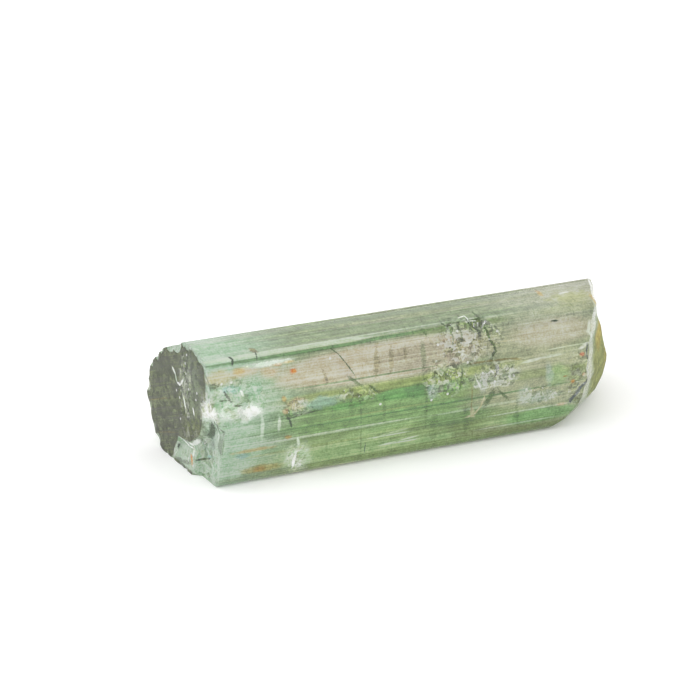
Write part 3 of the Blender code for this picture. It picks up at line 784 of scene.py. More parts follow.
def flat_end_colour(tree, place, look):
    """The flat end's colour, growth lines and mask. Tourmaline is darker along its length, so it is olive."""
    inputs = {"Vector": place, "Rotation": (END_LINES_TURN, 0, 0), "Scale": END_LINES_SIZE}
    ruled = add(tree, "ShaderNodeMapping", inputs, vector_type="TEXTURE").outputs["Vector"]
    inputs = {"Vector": ruled, "Scale": 1.0, "Detail": END_LINES_DETAIL, "Roughness": END_LINES_ROUGHNESS}
    lines = add(tree, "ShaderNodeTexNoise", inputs).outputs["Fac"]
    flat_end = past(tree, place, FLAT_FACE_AT + FLAT_END_DEPTH, -FLAT_END_FADE)
    return two_tone(tree, lines, look.end_dark, look.end_pale), lines, flat_end


def surface_marks(tree, place, mottle, grit):
    """Each stain, crack, painted highlight and painted glint, in the order they are laid: its mask, its colour,
    and if it is crushed.
    """
    for centre, half_size, strength, hex_colour in SPOTS:
        mask = zone(tree, place, centre, half_size, strength, SPOT_SOFTNESS, mottle, SPOT_RAGGEDNESS)
        yield mask, hex_colour, hex_colour in CRUSHED
    for points, half_width, strength, hex_colour in LINES:
        pairs = zip(points, points[1:])
        strokes = (stroke(tree, place, start, end, half_width, strength, grit) for start, end in pairs)
        yield joined(tree, strokes), hex_colour, hex_colour in CRUSHED
    # the glints are painted highlights, white laid into the colour; unlike white crushed crystal they don't
    # frost
    for glint in PAINTED_GLINTS:
        half_size = [GLINT_RADIUS] * 3
        half_size[0 if glint[0] < END_MARKS_TO else 1] = GLINT_REACH
        yield zone(tree, place, glint, half_size, 1.0, GLINT_SOFTNESS, grit, GLINT_RAGGEDNESS), WHITE, False


def broken_places(tree, place, mottle):
    """The cleaved zones: their mask, a warped place for their cells, and the cells' random colours."""
    zones = (
        zone(tree, place, centre, half_size, strength, BROKEN_SOFTNESS, mottle, BROKEN_RAGGEDNESS)
        for centre, half_size, strength in BROKEN_ZONES
    )
    broken = joined(tree, zones)
    inputs = {0: grain(tree, place, *FACET_WARP)["Color"], 1: [FACET_WARP_REACH] * 3, 2: place}
    warped = add(tree, "ShaderNodeVectorMath", inputs, operation="MULTIPLY_ADD").outputs[0]
    facet = cells(tree, warped, *FACETS)["Color"]
    splinter = cells(tree, warped, *SPLINTERS)["Color"]
    return broken, warped, facet, splinter


def facet_colour(tree, colour, broken, facet, splinter):
    """Tints some of the facets, and lightens and darkens each facet and splinter as a whole."""
    facet_draws = add(tree, "ShaderNodeSeparateXYZ", {0: facet}).outputs
    splinter_draws = add(tree, "ShaderNodeSeparateXYZ", {0: splinter}).outputs
    for draw, low, high, hex_colour in FACET_TINTS:
        inputs = {"Value": facet_draws[draw], "From Min": low, "From Max": high, "To Max": FACET_TINT}
        chosen = add(tree, "ShaderNodeMapRange", inputs, **SMOOTH).outputs["Result"]
        mask = add(tree, "ShaderNodeMath", {0: chosen, 1: broken}, operation="MULTIPLY").outputs[0]
        inputs = {0: mask, 6: colour, 7: opaque(linear(hex_colour))}
        colour = add(tree, "ShaderNodeMix", inputs, **LAID_OVER).outputs[2]
    for draws, contrast in ((facet_draws, FACET_CONTRAST), (splinter_draws, SPLINTER_CONTRAST)):
        strength = add(tree, "ShaderNodeMath", {0: broken, 1: contrast}, operation="MULTIPLY").outputs[0]
        inputs = {0: strength, 6: colour, 7: draws["X"]}
        colour = add(tree, "ShaderNodeMix", inputs, **OVERLAY).outputs[2]
    return colour


def ruled_colour(tree, place, colour, streaks, lines, mottle, grit, flat_end):
    """Rules the colour with growth lines, faint breaks across them, mottling and grit."""
    cross_breaks = grain(tree, place, *CROSS_BREAKS)["Fac"]
    quiet = past(tree, place, QUIET_FROM, QUIET_OVER)
    inputs = {0: streaks, 1: LINES_GAIN, 2: LINES_OFFSET}
    ruled = add(tree, "ShaderNodeMath", inputs, operation="MULTIPLY_ADD").outputs[0]
    inputs = {0: quiet, 1: -QUIET_SHARE, 2: 1.0}
    kept = add(tree, "ShaderNodeMath", inputs, operation="MULTIPLY_ADD").outputs[0]
    ruled = add(tree, "ShaderNodeMath", {0: ruled, 1: kept}, operation="MULTIPLY").outputs[0]
    inputs = {0: flat_end, 1: -CROSS_BREAKS_CONTRAST, 2: CROSS_BREAKS_CONTRAST}
    crossed = add(tree, "ShaderNodeMath", inputs, operation="MULTIPLY_ADD").outputs[0]
    inputs = {0: flat_end, 1: MOTTLE_CONTRAST_AT_END, 2: MOTTLE_CONTRAST}
    mottled = add(tree, "ShaderNodeMath", inputs, operation="MULTIPLY_ADD").outputs[0]
    # Where each pattern is black, where it is palest, how pale that is, and how strongly it shows
    for pattern, low, high, top, strength in (
        (lines, 0.3, 0.7, 1.0, ruled),
        (streaks, 0.3, 0.7, 1.0, 0.15),
        (cross_breaks, 0.75, 0.55, 0.5, crossed),
        (grit, 0.3, 0.7, 1.0, 0.22),
        (mottle, 0.35, 0.65, 1.0, mottled),
    ):
        colour = shade(tree, colour, pattern, low, high, top, strength)
    return colour


def turned_shading(tree, broken, facet, end_lines, flat_end, stained):
    """The direction that the surface shows to the light, turned by facets, growth steps and corrosion."""
    facing = add(tree, "ShaderNodeNewGeometry").outputs["Normal"]
    inputs = {0: facet, 1: (0.5, 0.5, 0.5)}  # a random colour less middle grey points any way
    facet_turn = add(tree, "ShaderNodeVectorMath", inputs, operation="SUBTRACT").outputs[0]
    facet_share = add(tree, "ShaderNodeMath", {0: broken, 1: FACET_TILT}, operation="MULTIPLY").outputs[0]
    inputs = {0: end_lines, 1: END_TILT_GAIN, 2: END_TILT_OFFSET}
    end_share = add(tree, "ShaderNodeMath", inputs, operation="MULTIPLY_ADD").outputs[0]
    end_share = add(tree, "ShaderNodeMath", {0: end_share, 1: flat_end}, operation="MULTIPLY").outputs[0]
    for turn, share in ((facet_turn, facet_share), (END_TILT, end_share), (STAIN_TILT, stained)):
        turn = add(tree, "ShaderNodeVectorMath", {0: turn, "Scale": share}, operation="SCALE").outputs[0]
        facing = add(tree, "ShaderNodeVectorMath", {0: facing, 1: turn}, operation="ADD").outputs[0]
    return add(tree, "ShaderNodeVectorMath", {0: facing}, operation="NORMALIZE").outputs[0]


def tourmaline(look):
    """Natural green tourmaline: glassy faces ruled with growth lines, and colour that runs in long zones.

    Inclusions make it milky, crushed crystal shows as white, frosted marks, and stains dull the broken end.
    """
    material, tree = new_material("green tourmaline, natural faces")
    place = in_millimetres(tree)
    streaks, lines, mottle, grit = (
        grain(tree, place, *pattern)["Fac"] for pattern in (STREAKS, GROWTH_LINES, MOTTLE, GRIT)
    )

    colour = growth_colour(tree, place, streaks, look)
    edge = (STAIN_SOFTNESS, streaks, STAIN_RAGGEDNESS)
    stained = joined(tree, (zone(tree, place, *side, 1.0, *edge) for side in STAINED_BREAK))
    inputs = {0: stained, 6: colour, 7: opaque(look.break_olive)}
    colour = add(tree, "ShaderNodeMix", inputs, **LAID_OVER).outputs[2]
    end_colour, end_lines, flat_end = flat_end_colour(tree, place, look)
    inputs = {0: flat_end, 6: colour, 7: end_colour}
    colour = add(tree, "ShaderNodeMix", inputs, **LAID_OVER).outputs[2]

    crushed = None
    for mask, hex_colour, is_crushed in surface_marks(tree, place, mottle, grit):
        inputs = {0: mask, 6: colour, 7: opaque(linear(hex_colour))}
        colour = add(tree, "ShaderNodeMix", inputs, **LAID_OVER).outputs[2]
        if is_crushed:
            crushed = joined(tree, (crushed, mask))

    broken, warped, facet, splinter = broken_places(tree, place, mottle)
    colour = facet_colour(tree, colour, broken, facet, splinter)
    colour = ruled_colour(tree, place, colour, streaks, lines, mottle, grit, flat_end)
    # Painted highlights: white sparkle dots over the cleaved zones
    painted_sparkles = dots(tree, warped, SPARKLE_SIZE, SPARKLE_SEED, SPARKLE_SHARE, SPARKLE_RADIUS)
    painted_sparkles = add(tree, "ShaderNodeMath", {0: painted_sparkles, 1: broken}, operation="MULTIPLY").outputs[0]
    inputs = {0: painted_sparkles, 6: colour, 7: opaque(linear(WHITE))}
    colour = add(tree, "ShaderNodeMix", inputs, **LAID_OVER).outputs[2]

    facing = turned_shading(tree, broken, facet, end_lines, flat_end, stained)
    inputs = {0: grit, 1: GRIT_RELIEF, 2: lines}
    relief = add(tree, "ShaderNodeMath", inputs, operation="MULTIPLY_ADD").outputs[0]
    inputs = {"Height": relief, "Strength": RELIEF_STRENGTH, "Distance": RELIEF_HEIGHT, "Normal": facing}
    bump = add(tree, "ShaderNodeBump", inputs)

    dulled = joined(tree, (crushed, stained))
    inputs = {0: crushed, 1: CRUSHED_ROUGHNESS, 2: look.roughness}
    roughness = add(tree, "ShaderNodeMath", inputs, operation="MULTIPLY_ADD").outputs[0]
    inputs = {0: dulled, 1: -DULLED_SHARE * look.clearness, 2: look.clearness}
    clearness = add(tree, "ShaderNodeMath", inputs, operation="MULTIPLY_ADD").outputs[0]
    inputs = {
        "Base Color": colour,
        "Roughness": roughness,
        "IOR": look.refraction,
        "Transmission Weight": clearness,
        "Normal": bump.outputs["Normal"],
    }
    shader = add(tree, "ShaderNodeBsdfPrincipled", inputs)
    inputs = {"Color": opaque(look.depth_colour), "Density": look.depth_density}
    volume = add(tree, "ShaderNodeVolumeAbsorption", inputs)
    inputs = {"Surface": shader.outputs["BSDF"], "Volume": volume.outputs["Volume"]}
    add(tree, "ShaderNodeOutputMaterial", inputs)
    return material


def gap_walls(look):
    """Air in a gap: its walls shine where they turn light back, and let the rest through."""
    material, tree = new_material("walls of air gaps")
    inputs = {
        "Base Color": opaque(linear("F2F6F0")),
        "Roughness": 0.04,
        "IOR": look.refraction,
        "Transmission Weight": 0.85,
    }
    shader = add(tree, "ShaderNodeBsdfPrincipled", inputs)
    add(tree, "ShaderNodeOutputMaterial", {"Surface": shader.outputs["BSDF"]})
    return material


# ---------------------------------------------------------------- inside the crystal

# Cracks, in mm: centre, the direction each faces, half depth, half height, gap and waviness
CRACKS = (
    ((-15.6, -4.9, 3.6), (-0.42, -0.90, 0.1), 2.2, 2.0, 0.05, 0.5),
    ((-12.7, -5.6, 3.6), (0.95, 0.10, 0.12), 1.0, 2.6, 0.05, 0.35),
    ((-16.3, -6.0, 6.1), (0.2, -0.9, 0.3), 0.8, 0.6, 0.08, 0.2),
    ((-7.8, -4.9, 8.2), (0.88, 0.35, 0.45), 1.2, 1.9, 0.03, 0.3),
    ((-6.2, -5.3, 1.8), (0.97, 0.1, 0.1), 0.9, 1.3, 0.03, 0.2),
    ((-0.9, -4.8, 5.6), (0.95, 0.25, 0.1), 1.6, 2.2, 0.04, 0.5),
    ((1.6, -4.3, 7.6), (0.8, -0.35, 0.45), 1.8, 2.0, 0.05, 0.6),
    ((3.8, -4.2, 8.2), (0.92, 0.1, -0.3), 2.0, 2.0, 0.05, 0.6),
    ((4.6, -4.8, 6.6), (0.85, 0.3, -0.4), 1.6, 2.2, 0.05, 0.6),
    ((3.3, -5.2, 3.6), (0.9, 0.35, 0.3), 1.2, 1.6, 0.04, 0.5),
    ((5.4, -5.4, 4.8), (0.3, -0.9, 0.4), 1.6, 1.0, 0.05, 0.5),
    ((9.3, -5.0, 4.4), (0.9, 0.3, 0.1), 1.2, 2.0, 0.03, 0.5),
)
CRACK_DIVISIONS = 5
CRUMPLE_SIZE, CRUMPLE_DEPTH = 0.45, 0.06  # the small waves in a crack's walls, in mm
RIM_RAGGEDNESS, RIM_NOISE_SCALE = 0.45, 2.2
RIM_NOISE = (0.7, 2.0, 4)  # how fast the octaves fade, the step between them, and how many there are
WAVE_NOISE = (0.9, 2.1, 4)
CRACK_WAVES, VEIL_WAVES = 0.5, 0.4  # features of the wave noise in each mm
CRACK_SEED_STEP, VEIL_SEED_STEP = 3.7, 5.1
INSIDE_SHARE = 0.985  # what is inside stays within this share of the section's radius
END_MARGIN = 0.12 * MM
NEARLY_NOTHING = 1e-6  # stands for a radius of 0, which nothing can be divided by


def keep_inside(points):
    """Moves points, in mm from the face that the crystal rests on, to where they are under its surface."""
    y, z = points[:, 1] * MM, points[:, 2] * MM - AXIS_HEIGHT
    angle, radius = np.arctan2(-y, z), np.hypot(y, z)
    limit = section_radius(angle) * INSIDE_SHARE
    shrink = np.minimum(1, limit / np.maximum(radius, NEARLY_NOTHING))
    y, z = y * shrink, z * shrink
    low, high = chipped_end(y, z) + END_MARGIN, broken_end(y, z) - END_MARGIN
    x = np.clip(points[:, 0] * MM, low, high)
    return np.column_stack([x, y, z + AXIS_HEIGHT])


def add_crack(mesh, centre, facing, half_depth, half_height, gap, waviness, seed):
    """Adds a thin gap: a sphere flattened to a wavy lens with a ragged rim."""
    made = bmesh.ops.create_icosphere(mesh, subdivisions=CRACK_DIVISIONS, radius=1)["verts"]
    facing = Vector(facing).normalized()
    up = (Vector((0, 0, 1)) - facing * facing.z).normalized()
    deep = up.cross(facing)
    places = []
    for vertex in made:
        a, b, c = vertex.co
        turn = math.atan2(b, a)
        spot = Vector((math.cos(turn), math.sin(turn), seed)) * RIM_NOISE_SCALE
        rim = 1 + RIM_RAGGEDNESS * noise.fractal(spot, *RIM_NOISE)
        a, b = a * rim * half_depth, b * rim * half_height
        spot = Vector((a * CRACK_WAVES, b * CRACK_WAVES, seed))
        wave = waviness * noise.fractal(spot, *WAVE_NOISE)
        wave += CRUMPLE_DEPTH * noise.noise(Vector((a, b, seed)) / CRUMPLE_SIZE)
        places.append(Vector(centre) + deep * a + up * b + facing * (wave + c * gap / 2))
    for vertex, point in zip(made, keep_inside(np.array(places))):
        vertex.co = point


def make_cracks():
    """All the cracks as one mesh, whose walls face into the gaps."""
    mesh = bmesh.new()
    for number, crack in enumerate(CRACKS):
        add_crack(mesh, *crack, seed=number * CRACK_SEED_STEP)
    cracks = new_object("inner_cracks", mesh)
    cracks.data.flip_normals()
    cracks.data.shade_smooth()
    return cracks


# Veils of tiny inclusions, in mm: centre, the direction each faces, half length, half height and waviness
VEILS = (
    ((-4.0, -5.2, 8.4), (0.0, -0.97, 0.28), 8.0, 0.8, 0.25),
    ((9.0, -5.0, 8.0), (0.0, -0.97, 0.28), 4.0, 1.0, 0.3),
    ((2.5, -4.6, 6.5), (0.75, -0.6, 0.3), 2.6, 2.4, 0.6),
    ((-12.5, -5.2, 6.4), (0.3, -0.9, 0.2), 2.4, 1.5, 0.5),
    ((-17.0, -4.6, 5.5), (-0.5, -0.85, 0.0), 2.2, 2.6, 0.5),
    ((7.0, -4.6, 3.6), (0.6, -0.75, 0.0), 2.4, 1.6, 0.5),
    ((-3.0, 1.5, 6.5), (0.5, 0.85, 0.1), 4.0, 2.5, 0.9),
    ((10.0, 1.0, 5.0), (-0.5, 0.85, 0.1), 3.5, 2.5, 0.9),
)
VEIL_DIVISIONS = 24
INCLUSION_SEED, SMALLEST_INCLUSION = 31, 0.25  # the smallest as a share of the largest

# The sleeve that the growth tubes start in: its sides, its share of the section's radius and its ends
TUBE_SLEEVE_SIDES = 64
TUBE_SLEEVE_SHARE = 0.95
TUBE_SLEEVE_ENDS = (-16.5 * MM, 11.0 * MM)
TUBE_SEED, TUBE_SIDES = 47, 6
SHORTEST_TUBE, THINNEST_TUBE = 0.12, 0.3  # as shares of the longest and of the widest


def make_veil_sheets():
    """The wavy sheets, healed cracks, that the inclusions lie on."""
    mesh = bmesh.new()
    divisions = {"x_segments": VEIL_DIVISIONS, "y_segments": VEIL_DIVISIONS}
    for number, (centre, facing, half_length, half_height, waviness) in enumerate(VEILS):
        made = bmesh.ops.create_grid(mesh, **divisions, size=1)["verts"]
        facing = Vector(facing).normalized()
        along = (Vector((1, 0, 0)) - facing * facing.x).normalized()
        up = facing.cross(along)
        places = []
        for vertex in made:
            a, b = vertex.co.x * half_length, vertex.co.y * half_height
            spot = Vector((a * VEIL_WAVES, b * VEIL_WAVES, number * VEIL_SEED_STEP))
            wave = waviness * noise.fractal(spot, *WAVE_NOISE)
            places.append(Vector(centre) + along * a + up * b + facing * wave)
        for vertex, point in zip(made, keep_inside(np.array(places))):
            vertex.co = point
    return mesh


def make_tube_sheet():
    """A sleeve under the long faces, in which the growth tubes start."""
    mesh = bmesh.new()
    bmesh.ops.create_cone(mesh, segments=TUBE_SLEEVE_SIDES, radius1=1, radius2=1, depth=1, cap_ends=False)
    for vertex in mesh.verts:
        angle = math.atan2(vertex.co.y, vertex.co.x)
        radius = float(section_radius(np.array([angle]))[0]) * TUBE_SLEEVE_SHARE
        x = TUBE_SLEEVE_ENDS[0] if vertex.co.z < 0 else TUBE_SLEEVE_ENDS[1]
        vertex.co = (x, -radius * math.sin(angle), radius * math.cos(angle) + AXIS_HEIGHT)
    return mesh


SCATTER_INPUTS = {
    "Geometry": "NodeSocketGeometry",
    "Per Square Metre": "NodeSocketFloat",
    "Smallest": "NodeSocketVector",
    "Largest": "NodeSocketVector",
    "Material": "NodeSocketMaterial",
}


def scatter_tree(name, seed, shape_kind, shape_inputs, turn):
    """A node tree that strews copies of a small closed shape over a sheet, as gaps: their walls face in."""
    tree = bpy.data.node_groups.new(name, "GeometryNodeTree")
    for socket_name, kind in SCATTER_INPUTS.items():
        tree.interface.new_socket(socket_name, in_out="INPUT", socket_type=kind)
    tree.interface.new_socket("Geometry", in_out="OUTPUT", socket_type="NodeSocketGeometry")
    given = add(tree, "NodeGroupInput").outputs
    inputs = {"Mesh": given["Geometry"], "Density": given["Per Square Metre"], "Seed": seed}
    points = add(tree, "GeometryNodeDistributePointsOnFaces", inputs).outputs["Points"]
    inputs = {0: given["Smallest"], 1: given["Largest"], "Seed": seed + 1}
    sizes = add(tree, "FunctionNodeRandomValue", inputs, data_type="FLOAT_VECTOR").outputs[0]
    shape = add(tree, shape_kind, shape_inputs).outputs["Mesh"]
    inputs = {"Geometry": shape, "Rotation": turn}
    shape = add(tree, "GeometryNodeTransform", inputs).outputs["Geometry"]
    inputs = {"Points": points, "Instance": shape, "Scale": sizes}
    copies = add(tree, "GeometryNodeInstanceOnPoints", inputs).outputs["Instances"]
    real = add(tree, "GeometryNodeRealizeInstances", {"Geometry": copies}).outputs["Geometry"]
    inward = add(tree, "GeometryNodeFlipFaces", {"Mesh": real}).outputs["Mesh"]
    inputs = {"Geometry": inward, "Material": given["Material"]}
    finished = add(tree, "GeometryNodeSetMaterial", inputs).outputs["Geometry"]
    add(tree, "NodeGroupOutput", {"Geometry": finished})
    return tree


def strewn(name, sheet, tree, values):
    """Runs a scatter tree on a sheet and keeps the result as one plain mesh."""
    source = new_object(name + "_sheet", sheet)
    modifier = source.modifiers.new("scatter", "NODES")
    modifier.node_group = tree
    for item in tree.interface.items_tree:
        if item.name in values:
            modifier[item.identifier] = values[item.name]
    graph = bpy.context.evaluated_depsgraph_get()
    data = bpy.data.meshes.new_from_object(source.evaluated_get(graph))
    data.name = name
    bpy.data.objects.remove(source)
    piece = bpy.data.objects.new(name, data)
    bpy.context.scene.collection.objects.link(piece)
    return piece


# ---------------------------------------------------------------- settings


def colour_setting(name, description, hex_colour):
    """A colour to set, with an sRGB hex colour as its default."""
    return FloatVectorProperty(
        name=name, description=description, default=linear(hex_colour), subtype="COLOR", size=3, min=0, max=1
    )


class TOURMALINE_PG_body(bpy.types.PropertyGroup):
    """The fine striae of the body"""

    fine_count: IntProperty(name="Fine striae", description="How many there are", default=FINE_COUNT, min=0)
    fine_depth: FloatProperty(
        name="Stria depth",
        description="Depth of the deepest fine groove",
        default=FINE_DEPTH[1],
        unit="LENGTH",
    )


class TOURMALINE_PG_finish(bpy.types.PropertyGroup):
    """The colours of the crystal's zones and how clear it is"""

    dark_green: colour_setting("Dark green", "The darker streaks", "95AC7D")
    pale_green: colour_setting("Pale green", "The paler streaks", "AFB795")
    teal_haze: colour_setting("Teal haze", "The end by the flat face", "CBE5CE")
    leaf_green: colour_setting("Leaf green", "Along the lower front", "7CA75F")
    # Sap green is partly painted light: paler than the stone, for light that comes up through the foot from the
    # floor
    sap_green_and_painted_light: colour_setting("Sap green", "Along the foot of the front", "B0D38C")
    deep_green: colour_setting("Deep green", "Dark lines and patches", "5F8F52")
    olive: colour_setting("Olive", "The band between the beige window and the green", "A2B068")
    straw: colour_setting("Straw", "Towards the break", "C0C29E")
    beige: colour_setting("Beige", "The window under the upper edge", "E3D9C3")
    milk: colour_setting("Milk", "The clouded top by the break", "D2D3BC")
    vivid_green: colour_setting("Vivid green", "Bright green patches", "76B464")
    # Pale lines: partly pale growth lines, partly painted highlights along the upper edge and the grooves
    pale_line_and_sheen: colour_setting("Pale lines", "Pale growth lines", "DCEAD2")
    break_olive: colour_setting("Olive break", "The slanting side of the break", "8E9454")
    taupe: colour_setting("Taupe", "Greyer patches of the beige zone", "A3997C")
    moss_green: colour_setting("Moss green", "Dull green zones low on the front", "7C9150")
    end_dark: colour_setting("Flat end, dark", "The darker lines of the flat end", "4A5034")
    end_pale: colour_setting("Flat end, pale", "The paler lines of the flat end", "737C59")
    depth_colour: colour_setting("Depth colour", "What the crystal lets through", "B1CEA0")
    depth_density: FloatProperty(
        name="Depth density", description="How fast it darkens with depth", default=35.0
    )
    clearness: FloatProperty(
        name="Clearness",
        description="Share of light let through",
        default=0.45,
        subtype="FACTOR",
        min=0,
        max=1,
    )
    roughness: FloatProperty(
        name="Roughness",
        description="Roughness of the natural faces",
        default=0.08,
        subtype="FACTOR",
        min=0,
        max=1,
    )
    refraction: FloatProperty(name="Refraction", description="Tourmaline's refractive index", default=1.63)


class TOURMALINE_PG_inside(bpy.types.PropertyGroup):
    """The inclusions and growth tubes inside the crystal"""

    inclusion_density: FloatProperty(
        name="Inclusions", description="Inclusions on each square metre of a veil", default=3.0e7
    )
    inclusion_size: FloatProperty(
        name="Inclusion size", description="Radius of the largest inclusion", default=0.07 * MM, unit="LENGTH"
    )
    tube_density: FloatProperty(
        name="Tubes", description="Tubes on each square metre under the faces", default=2.2e5
    )
    tube_radius: FloatProperty(
        name="Tube radius", description="Radius of the widest growth tube", default=0.035 * MM, unit="LENGTH"
    )
    tube_length: FloatProperty(
        name="Tube length", description="Length of the longest growth tube", default=5.0 * MM, unit="LENGTH"
    )


class TOURMALINE_PG_stage(bpy.types.PropertyGroup):
    """The floor, the light and the camera"""

    floor_colour: colour_setting("Floor", "The paper under the crystal", "F7F7F7")
    floor_glow: FloatProperty(
        name="Floor glow", description="Light that comes up through the paper", default=0.12
    )
    sky_strength: FloatProperty(name="Sky", description="Brightness of the studio overhead", default=1.27)
    lamp_power: FloatProperty(name="Lamp", description="Power of the softbox", default=0.35, unit="POWER")
    lens: FloatProperty(name="Lens", description="Focal length of the camera", default=182.0)


# ---------------------------------------------------------------- operators

SHARP_FROM = math.radians(24)  # edges that turn more than this look sharp


def finish_piece(piece):
    """Makes a piece ride on the crystal's body."""
    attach(piece, BODY)


def make_body(settings):
    """The body: a ball of rings, each of which is a section of the crystal or part of one of its ends."""
    mesh = bmesh.new()
    rings = NEAR_RINGS + SIDE_RINGS + FAR_RINGS
    bmesh.ops.create_uvsphere(mesh, u_segments=AROUND, v_segments=rings, radius=1)
    places = np.array([vertex.co for vertex in mesh.verts])
    ring = np.rint(np.arccos(np.clip(places[:, 2], -1, 1)) / math.pi * rings)
    turn = np.arctan2(places[:, 1], places[:, 0])
    points = body_points(ring, turn, settings.fine_count, settings.fine_depth)
    middle = (points.min(axis=0) + points.max(axis=0)) / 2
    points -= (middle[0], middle[1], points[:, 2].min())
    for vertex, point in zip(mesh.verts, points):
        vertex.co = point
    body = new_object("tourmaline_body", mesh)
    body.data.shade_smooth()
    body.data.set_sharp_from_angle(angle=SHARP_FROM)
    return body


class TOURMALINE_OT_body(bpy.types.Operator):
    """Makes the striated, broken body of the crystal"""

    bl_idname = "tourmaline.body"
    bl_label = "Crystal body"

    def execute(self, context):
        body = make_body(context.scene.tourmaline_body)
        body.data.materials.append(tourmaline(context.scene.tourmaline_finish))
        finish_piece(body)
        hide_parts(NODE)
        return {"FINISHED"}


class TOURMALINE_OT_cracks(bpy.types.Operator):
    """Makes the cracks inside the crystal"""

    bl_idname = "tourmaline.cracks"
    bl_label = "Inner cracks"

    def execute(self, context):
        cracks = make_cracks()
        cracks.data.materials.append(gap_walls(context.scene.tourmaline_finish))
        finish_piece(cracks)
        return {"FINISHED"}


class TOURMALINE_OT_veils(bpy.types.Operator):
    """Strews tiny inclusions over the healed cracks"""

    bl_idname = "tourmaline.veils"
    bl_label = "Veils of inclusions"

    def execute(self, context):
        settings = context.scene.tourmaline_inside
        ball = {"Radius": 1.0}
        unturned = (0, 0, 0)
        tree = scatter_tree("inclusion_scatter", INCLUSION_SEED, "GeometryNodeMeshIcoSphere", ball, unturned)
        values = {
            "Per Square Metre": settings.inclusion_density,
            "Smallest": [settings.inclusion_size * SMALLEST_INCLUSION] * 3,
            "Largest": [settings.inclusion_size] * 3,
            "Material": gap_walls(context.scene.tourmaline_finish),
        }
        finish_piece(strewn("inclusion_veils", make_veil_sheets(), tree, values))
        return {"FINISHED"}


class TOURMALINE_OT_tubes(bpy.types.Operator):
    """Strews growth tubes under the long faces"""

    bl_idname = "tourmaline.tubes"
    bl_label = "Growth tubes"

    def execute(self, context):
        settings = context.scene.tourmaline_inside
        tube = {"Vertices": TUBE_SIDES, "Radius": 1.0, "Depth": 1.0}
        along_x = (0, math.radians(90), 0)
        tree = scatter_tree("tube_scatter", TUBE_SEED, "GeometryNodeMeshCylinder", tube, along_x)
        length, radius = settings.tube_length, settings.tube_radius
        values = {
            "Per Square Metre": settings.tube_density,
            "Smallest": (length * SHORTEST_TUBE, radius * THINNEST_TUBE, radius * THINNEST_TUBE),
            "Largest": (length, radius, radius),
            "Material": gap_walls(context.scene.tourmaline_finish),
        }
        finish_piece(strewn("growth_tubes", make_tube_sheet(), tree, values))
        return {"FINISHED"}


# The stage
FLOOR_HALF_SIZE = 1.5
HORIZON_SHARE = 0.6  # how bright the studio is at the horizon, against overhead
FULLY_BRIGHT_FROM = 0.8  # the height of the view, as a sine, from which the studio is as bright as overhead
LAMP_PLACE, LAMP_SIZE = (-0.25, 0.1, 0.5), 0.5
CAMERA_AZIMUTH, CAMERA_ELEVATION = math.radians(-25.5), math.radians(19.96)
CAMERA_AIM, CAMERA_DISTANCE = Vector((-3.627, 2.185, 6.311)) * MM, 280 * MM
SENSOR_WIDTH = 36  # in mm, as the lens is
NEAREST_SEEN = 10 * MM


def make_floor(colour, glow):
    """White paper, lit a little from below as on a light table, which keeps the shadow pale."""
    mesh = bmesh.new()
    bmesh.ops.create_grid(mesh, x_segments=1, y_segments=1, size=FLOOR_HALF_SIZE)
    floor = new_object("floor", mesh)
    material, tree = new_material("white paper")
    inputs = {
        "Base Color": opaque(colour),
        "Roughness": 0.9,
        "Emission Color": opaque(colour),
        "Emission Strength": glow,
    }
    shader = add(tree, "ShaderNodeBsdfPrincipled", inputs)
    add(tree, "ShaderNodeOutputMaterial", {"Surface": shader.outputs["BSDF"]})
    floor.data.materials.append(material)


def make_sky(strength):
    """A pale studio, brighter overhead than at the horizon."""
    world = bpy.data.worlds.new("studio")
    world.use_nodes = True
    tree = world.node_tree
    tree.nodes.clear()
    direction = add(tree, "ShaderNodeTexCoord").outputs["Generated"]
    height = add(tree, "ShaderNodeSeparateXYZ", {0: direction}).outputs["Z"]
    darkest = HORIZON_SHARE * strength
    inputs = {"Value": height, "From Max": FULLY_BRIGHT_FROM, "To Min": darkest, "To Max": strength}
    glow = add(tree, "ShaderNodeMapRange", inputs).outputs["Result"]
    background = add(tree, "ShaderNodeBackground", {"Color": (1, 1, 1, 1), "Strength": glow})
    add(tree, "ShaderNodeOutputWorld", {"Surface": background.outputs["Background"]})
    bpy.context.scene.world = world


def aimed(name, data, place, towards):
    """An object with a camera's or lamp's data, at a place and turned towards another."""
    made = bpy.data.objects.new(name, data)
    made.location = place
    made.rotation_mode = "QUATERNION"
    made.rotation_quaternion = (Vector(towards) - Vector(place)).to_track_quat("-Z", "Y")
    bpy.context.scene.collection.objects.link(made)
    return made


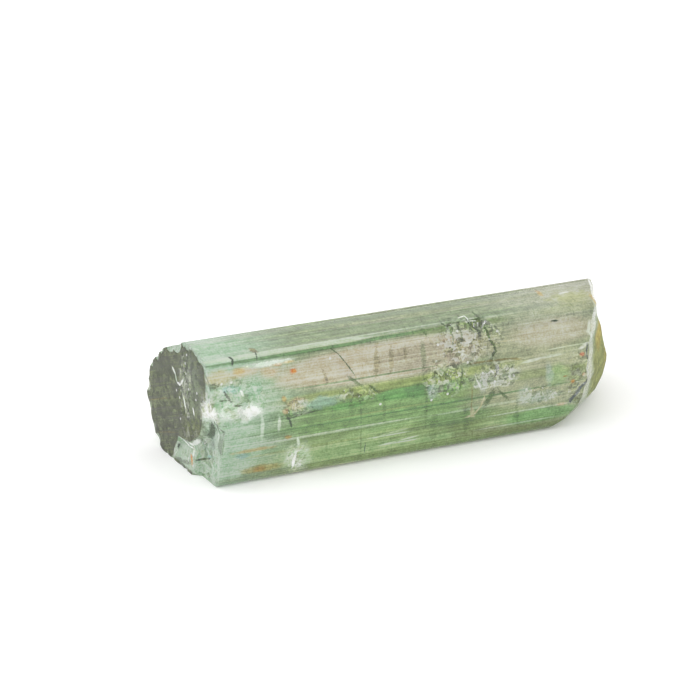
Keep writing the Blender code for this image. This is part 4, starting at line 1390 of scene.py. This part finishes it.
class TOURMALINE_OT_stage(bpy.types.Operator):
    """Makes the pale floor, the soft light and the camera"""

    bl_idname = "tourmaline.stage"
    bl_label = "Stage"

    def execute(self, context):
        settings = context.scene.tourmaline_stage
        make_floor(settings.floor_colour, settings.floor_glow)
        make_sky(settings.sky_strength)
        light = bpy.data.lights.new("softbox", "AREA")
        light.energy = settings.lamp_power
        light.size = LAMP_SIZE
        aimed("softbox", light, LAMP_PLACE, (0, 0, 0))
        camera_data = bpy.data.cameras.new("camera")
        camera_data.lens = settings.lens
        camera_data.sensor_width = SENSOR_WIDTH
        camera_data.clip_start = NEAREST_SEEN
        flat, up = math.cos(CAMERA_ELEVATION), math.sin(CAMERA_ELEVATION)
        back = Vector((math.sin(CAMERA_AZIMUTH) * flat, -math.cos(CAMERA_AZIMUTH) * flat, up))
        context.scene.camera = aimed("camera", camera_data, CAMERA_AIM + back * CAMERA_DISTANCE, CAMERA_AIM)
        context.scene.view_settings.view_transform = "Standard"
        return {"FINISHED"}


SETTINGS = {
    "tourmaline_body": TOURMALINE_PG_body,
    "tourmaline_finish": TOURMALINE_PG_finish,
    "tourmaline_inside": TOURMALINE_PG_inside,
    "tourmaline_stage": TOURMALINE_PG_stage,
}
OPERATORS = (
    TOURMALINE_OT_body,
    TOURMALINE_OT_cracks,
    TOURMALINE_OT_veils,
    TOURMALINE_OT_tubes,
    TOURMALINE_OT_stage,
)


class TOURMALINE_PT_panel(bpy.types.Panel):
    """Lists the crystal's settings and the steps that make it"""

    bl_idname = "TOURMALINE_PT_panel"
    bl_label = "Tourmaline crystal"
    bl_space_type = "VIEW_3D"
    bl_region_type = "UI"
    bl_category = "Tourmaline"

    def draw(self, context):
        for name, kind in SETTINGS.items():
            box = self.layout.box()
            for setting in kind.__annotations__:
                box.prop(getattr(context.scene, name), setting)
        for operator in OPERATORS:
            self.layout.operator(operator.bl_idname)


CLASSES = (*SETTINGS.values(), *OPERATORS, TOURMALINE_PT_panel)


def register():
    """Adds the panel, the settings and the steps to Blender."""
    for kind in CLASSES:
        bpy.utils.register_class(kind)
    for name, kind in SETTINGS.items():
        setattr(bpy.types.Scene, name, PointerProperty(type=kind))


def unregister():
    """Takes them out again."""
    for name in SETTINGS:
        delattr(bpy.types.Scene, name)
    for kind in reversed(CLASSES):
        bpy.utils.unregister_class(kind)


def main():
    """Makes every piece and the stage."""
    register()
    bpy.ops.tourmaline.body()
    bpy.ops.tourmaline.cracks()
    bpy.ops.tourmaline.veils()
    bpy.ops.tourmaline.tubes()
    bpy.ops.tourmaline.stage()


if __name__ == "__main__":
    main()
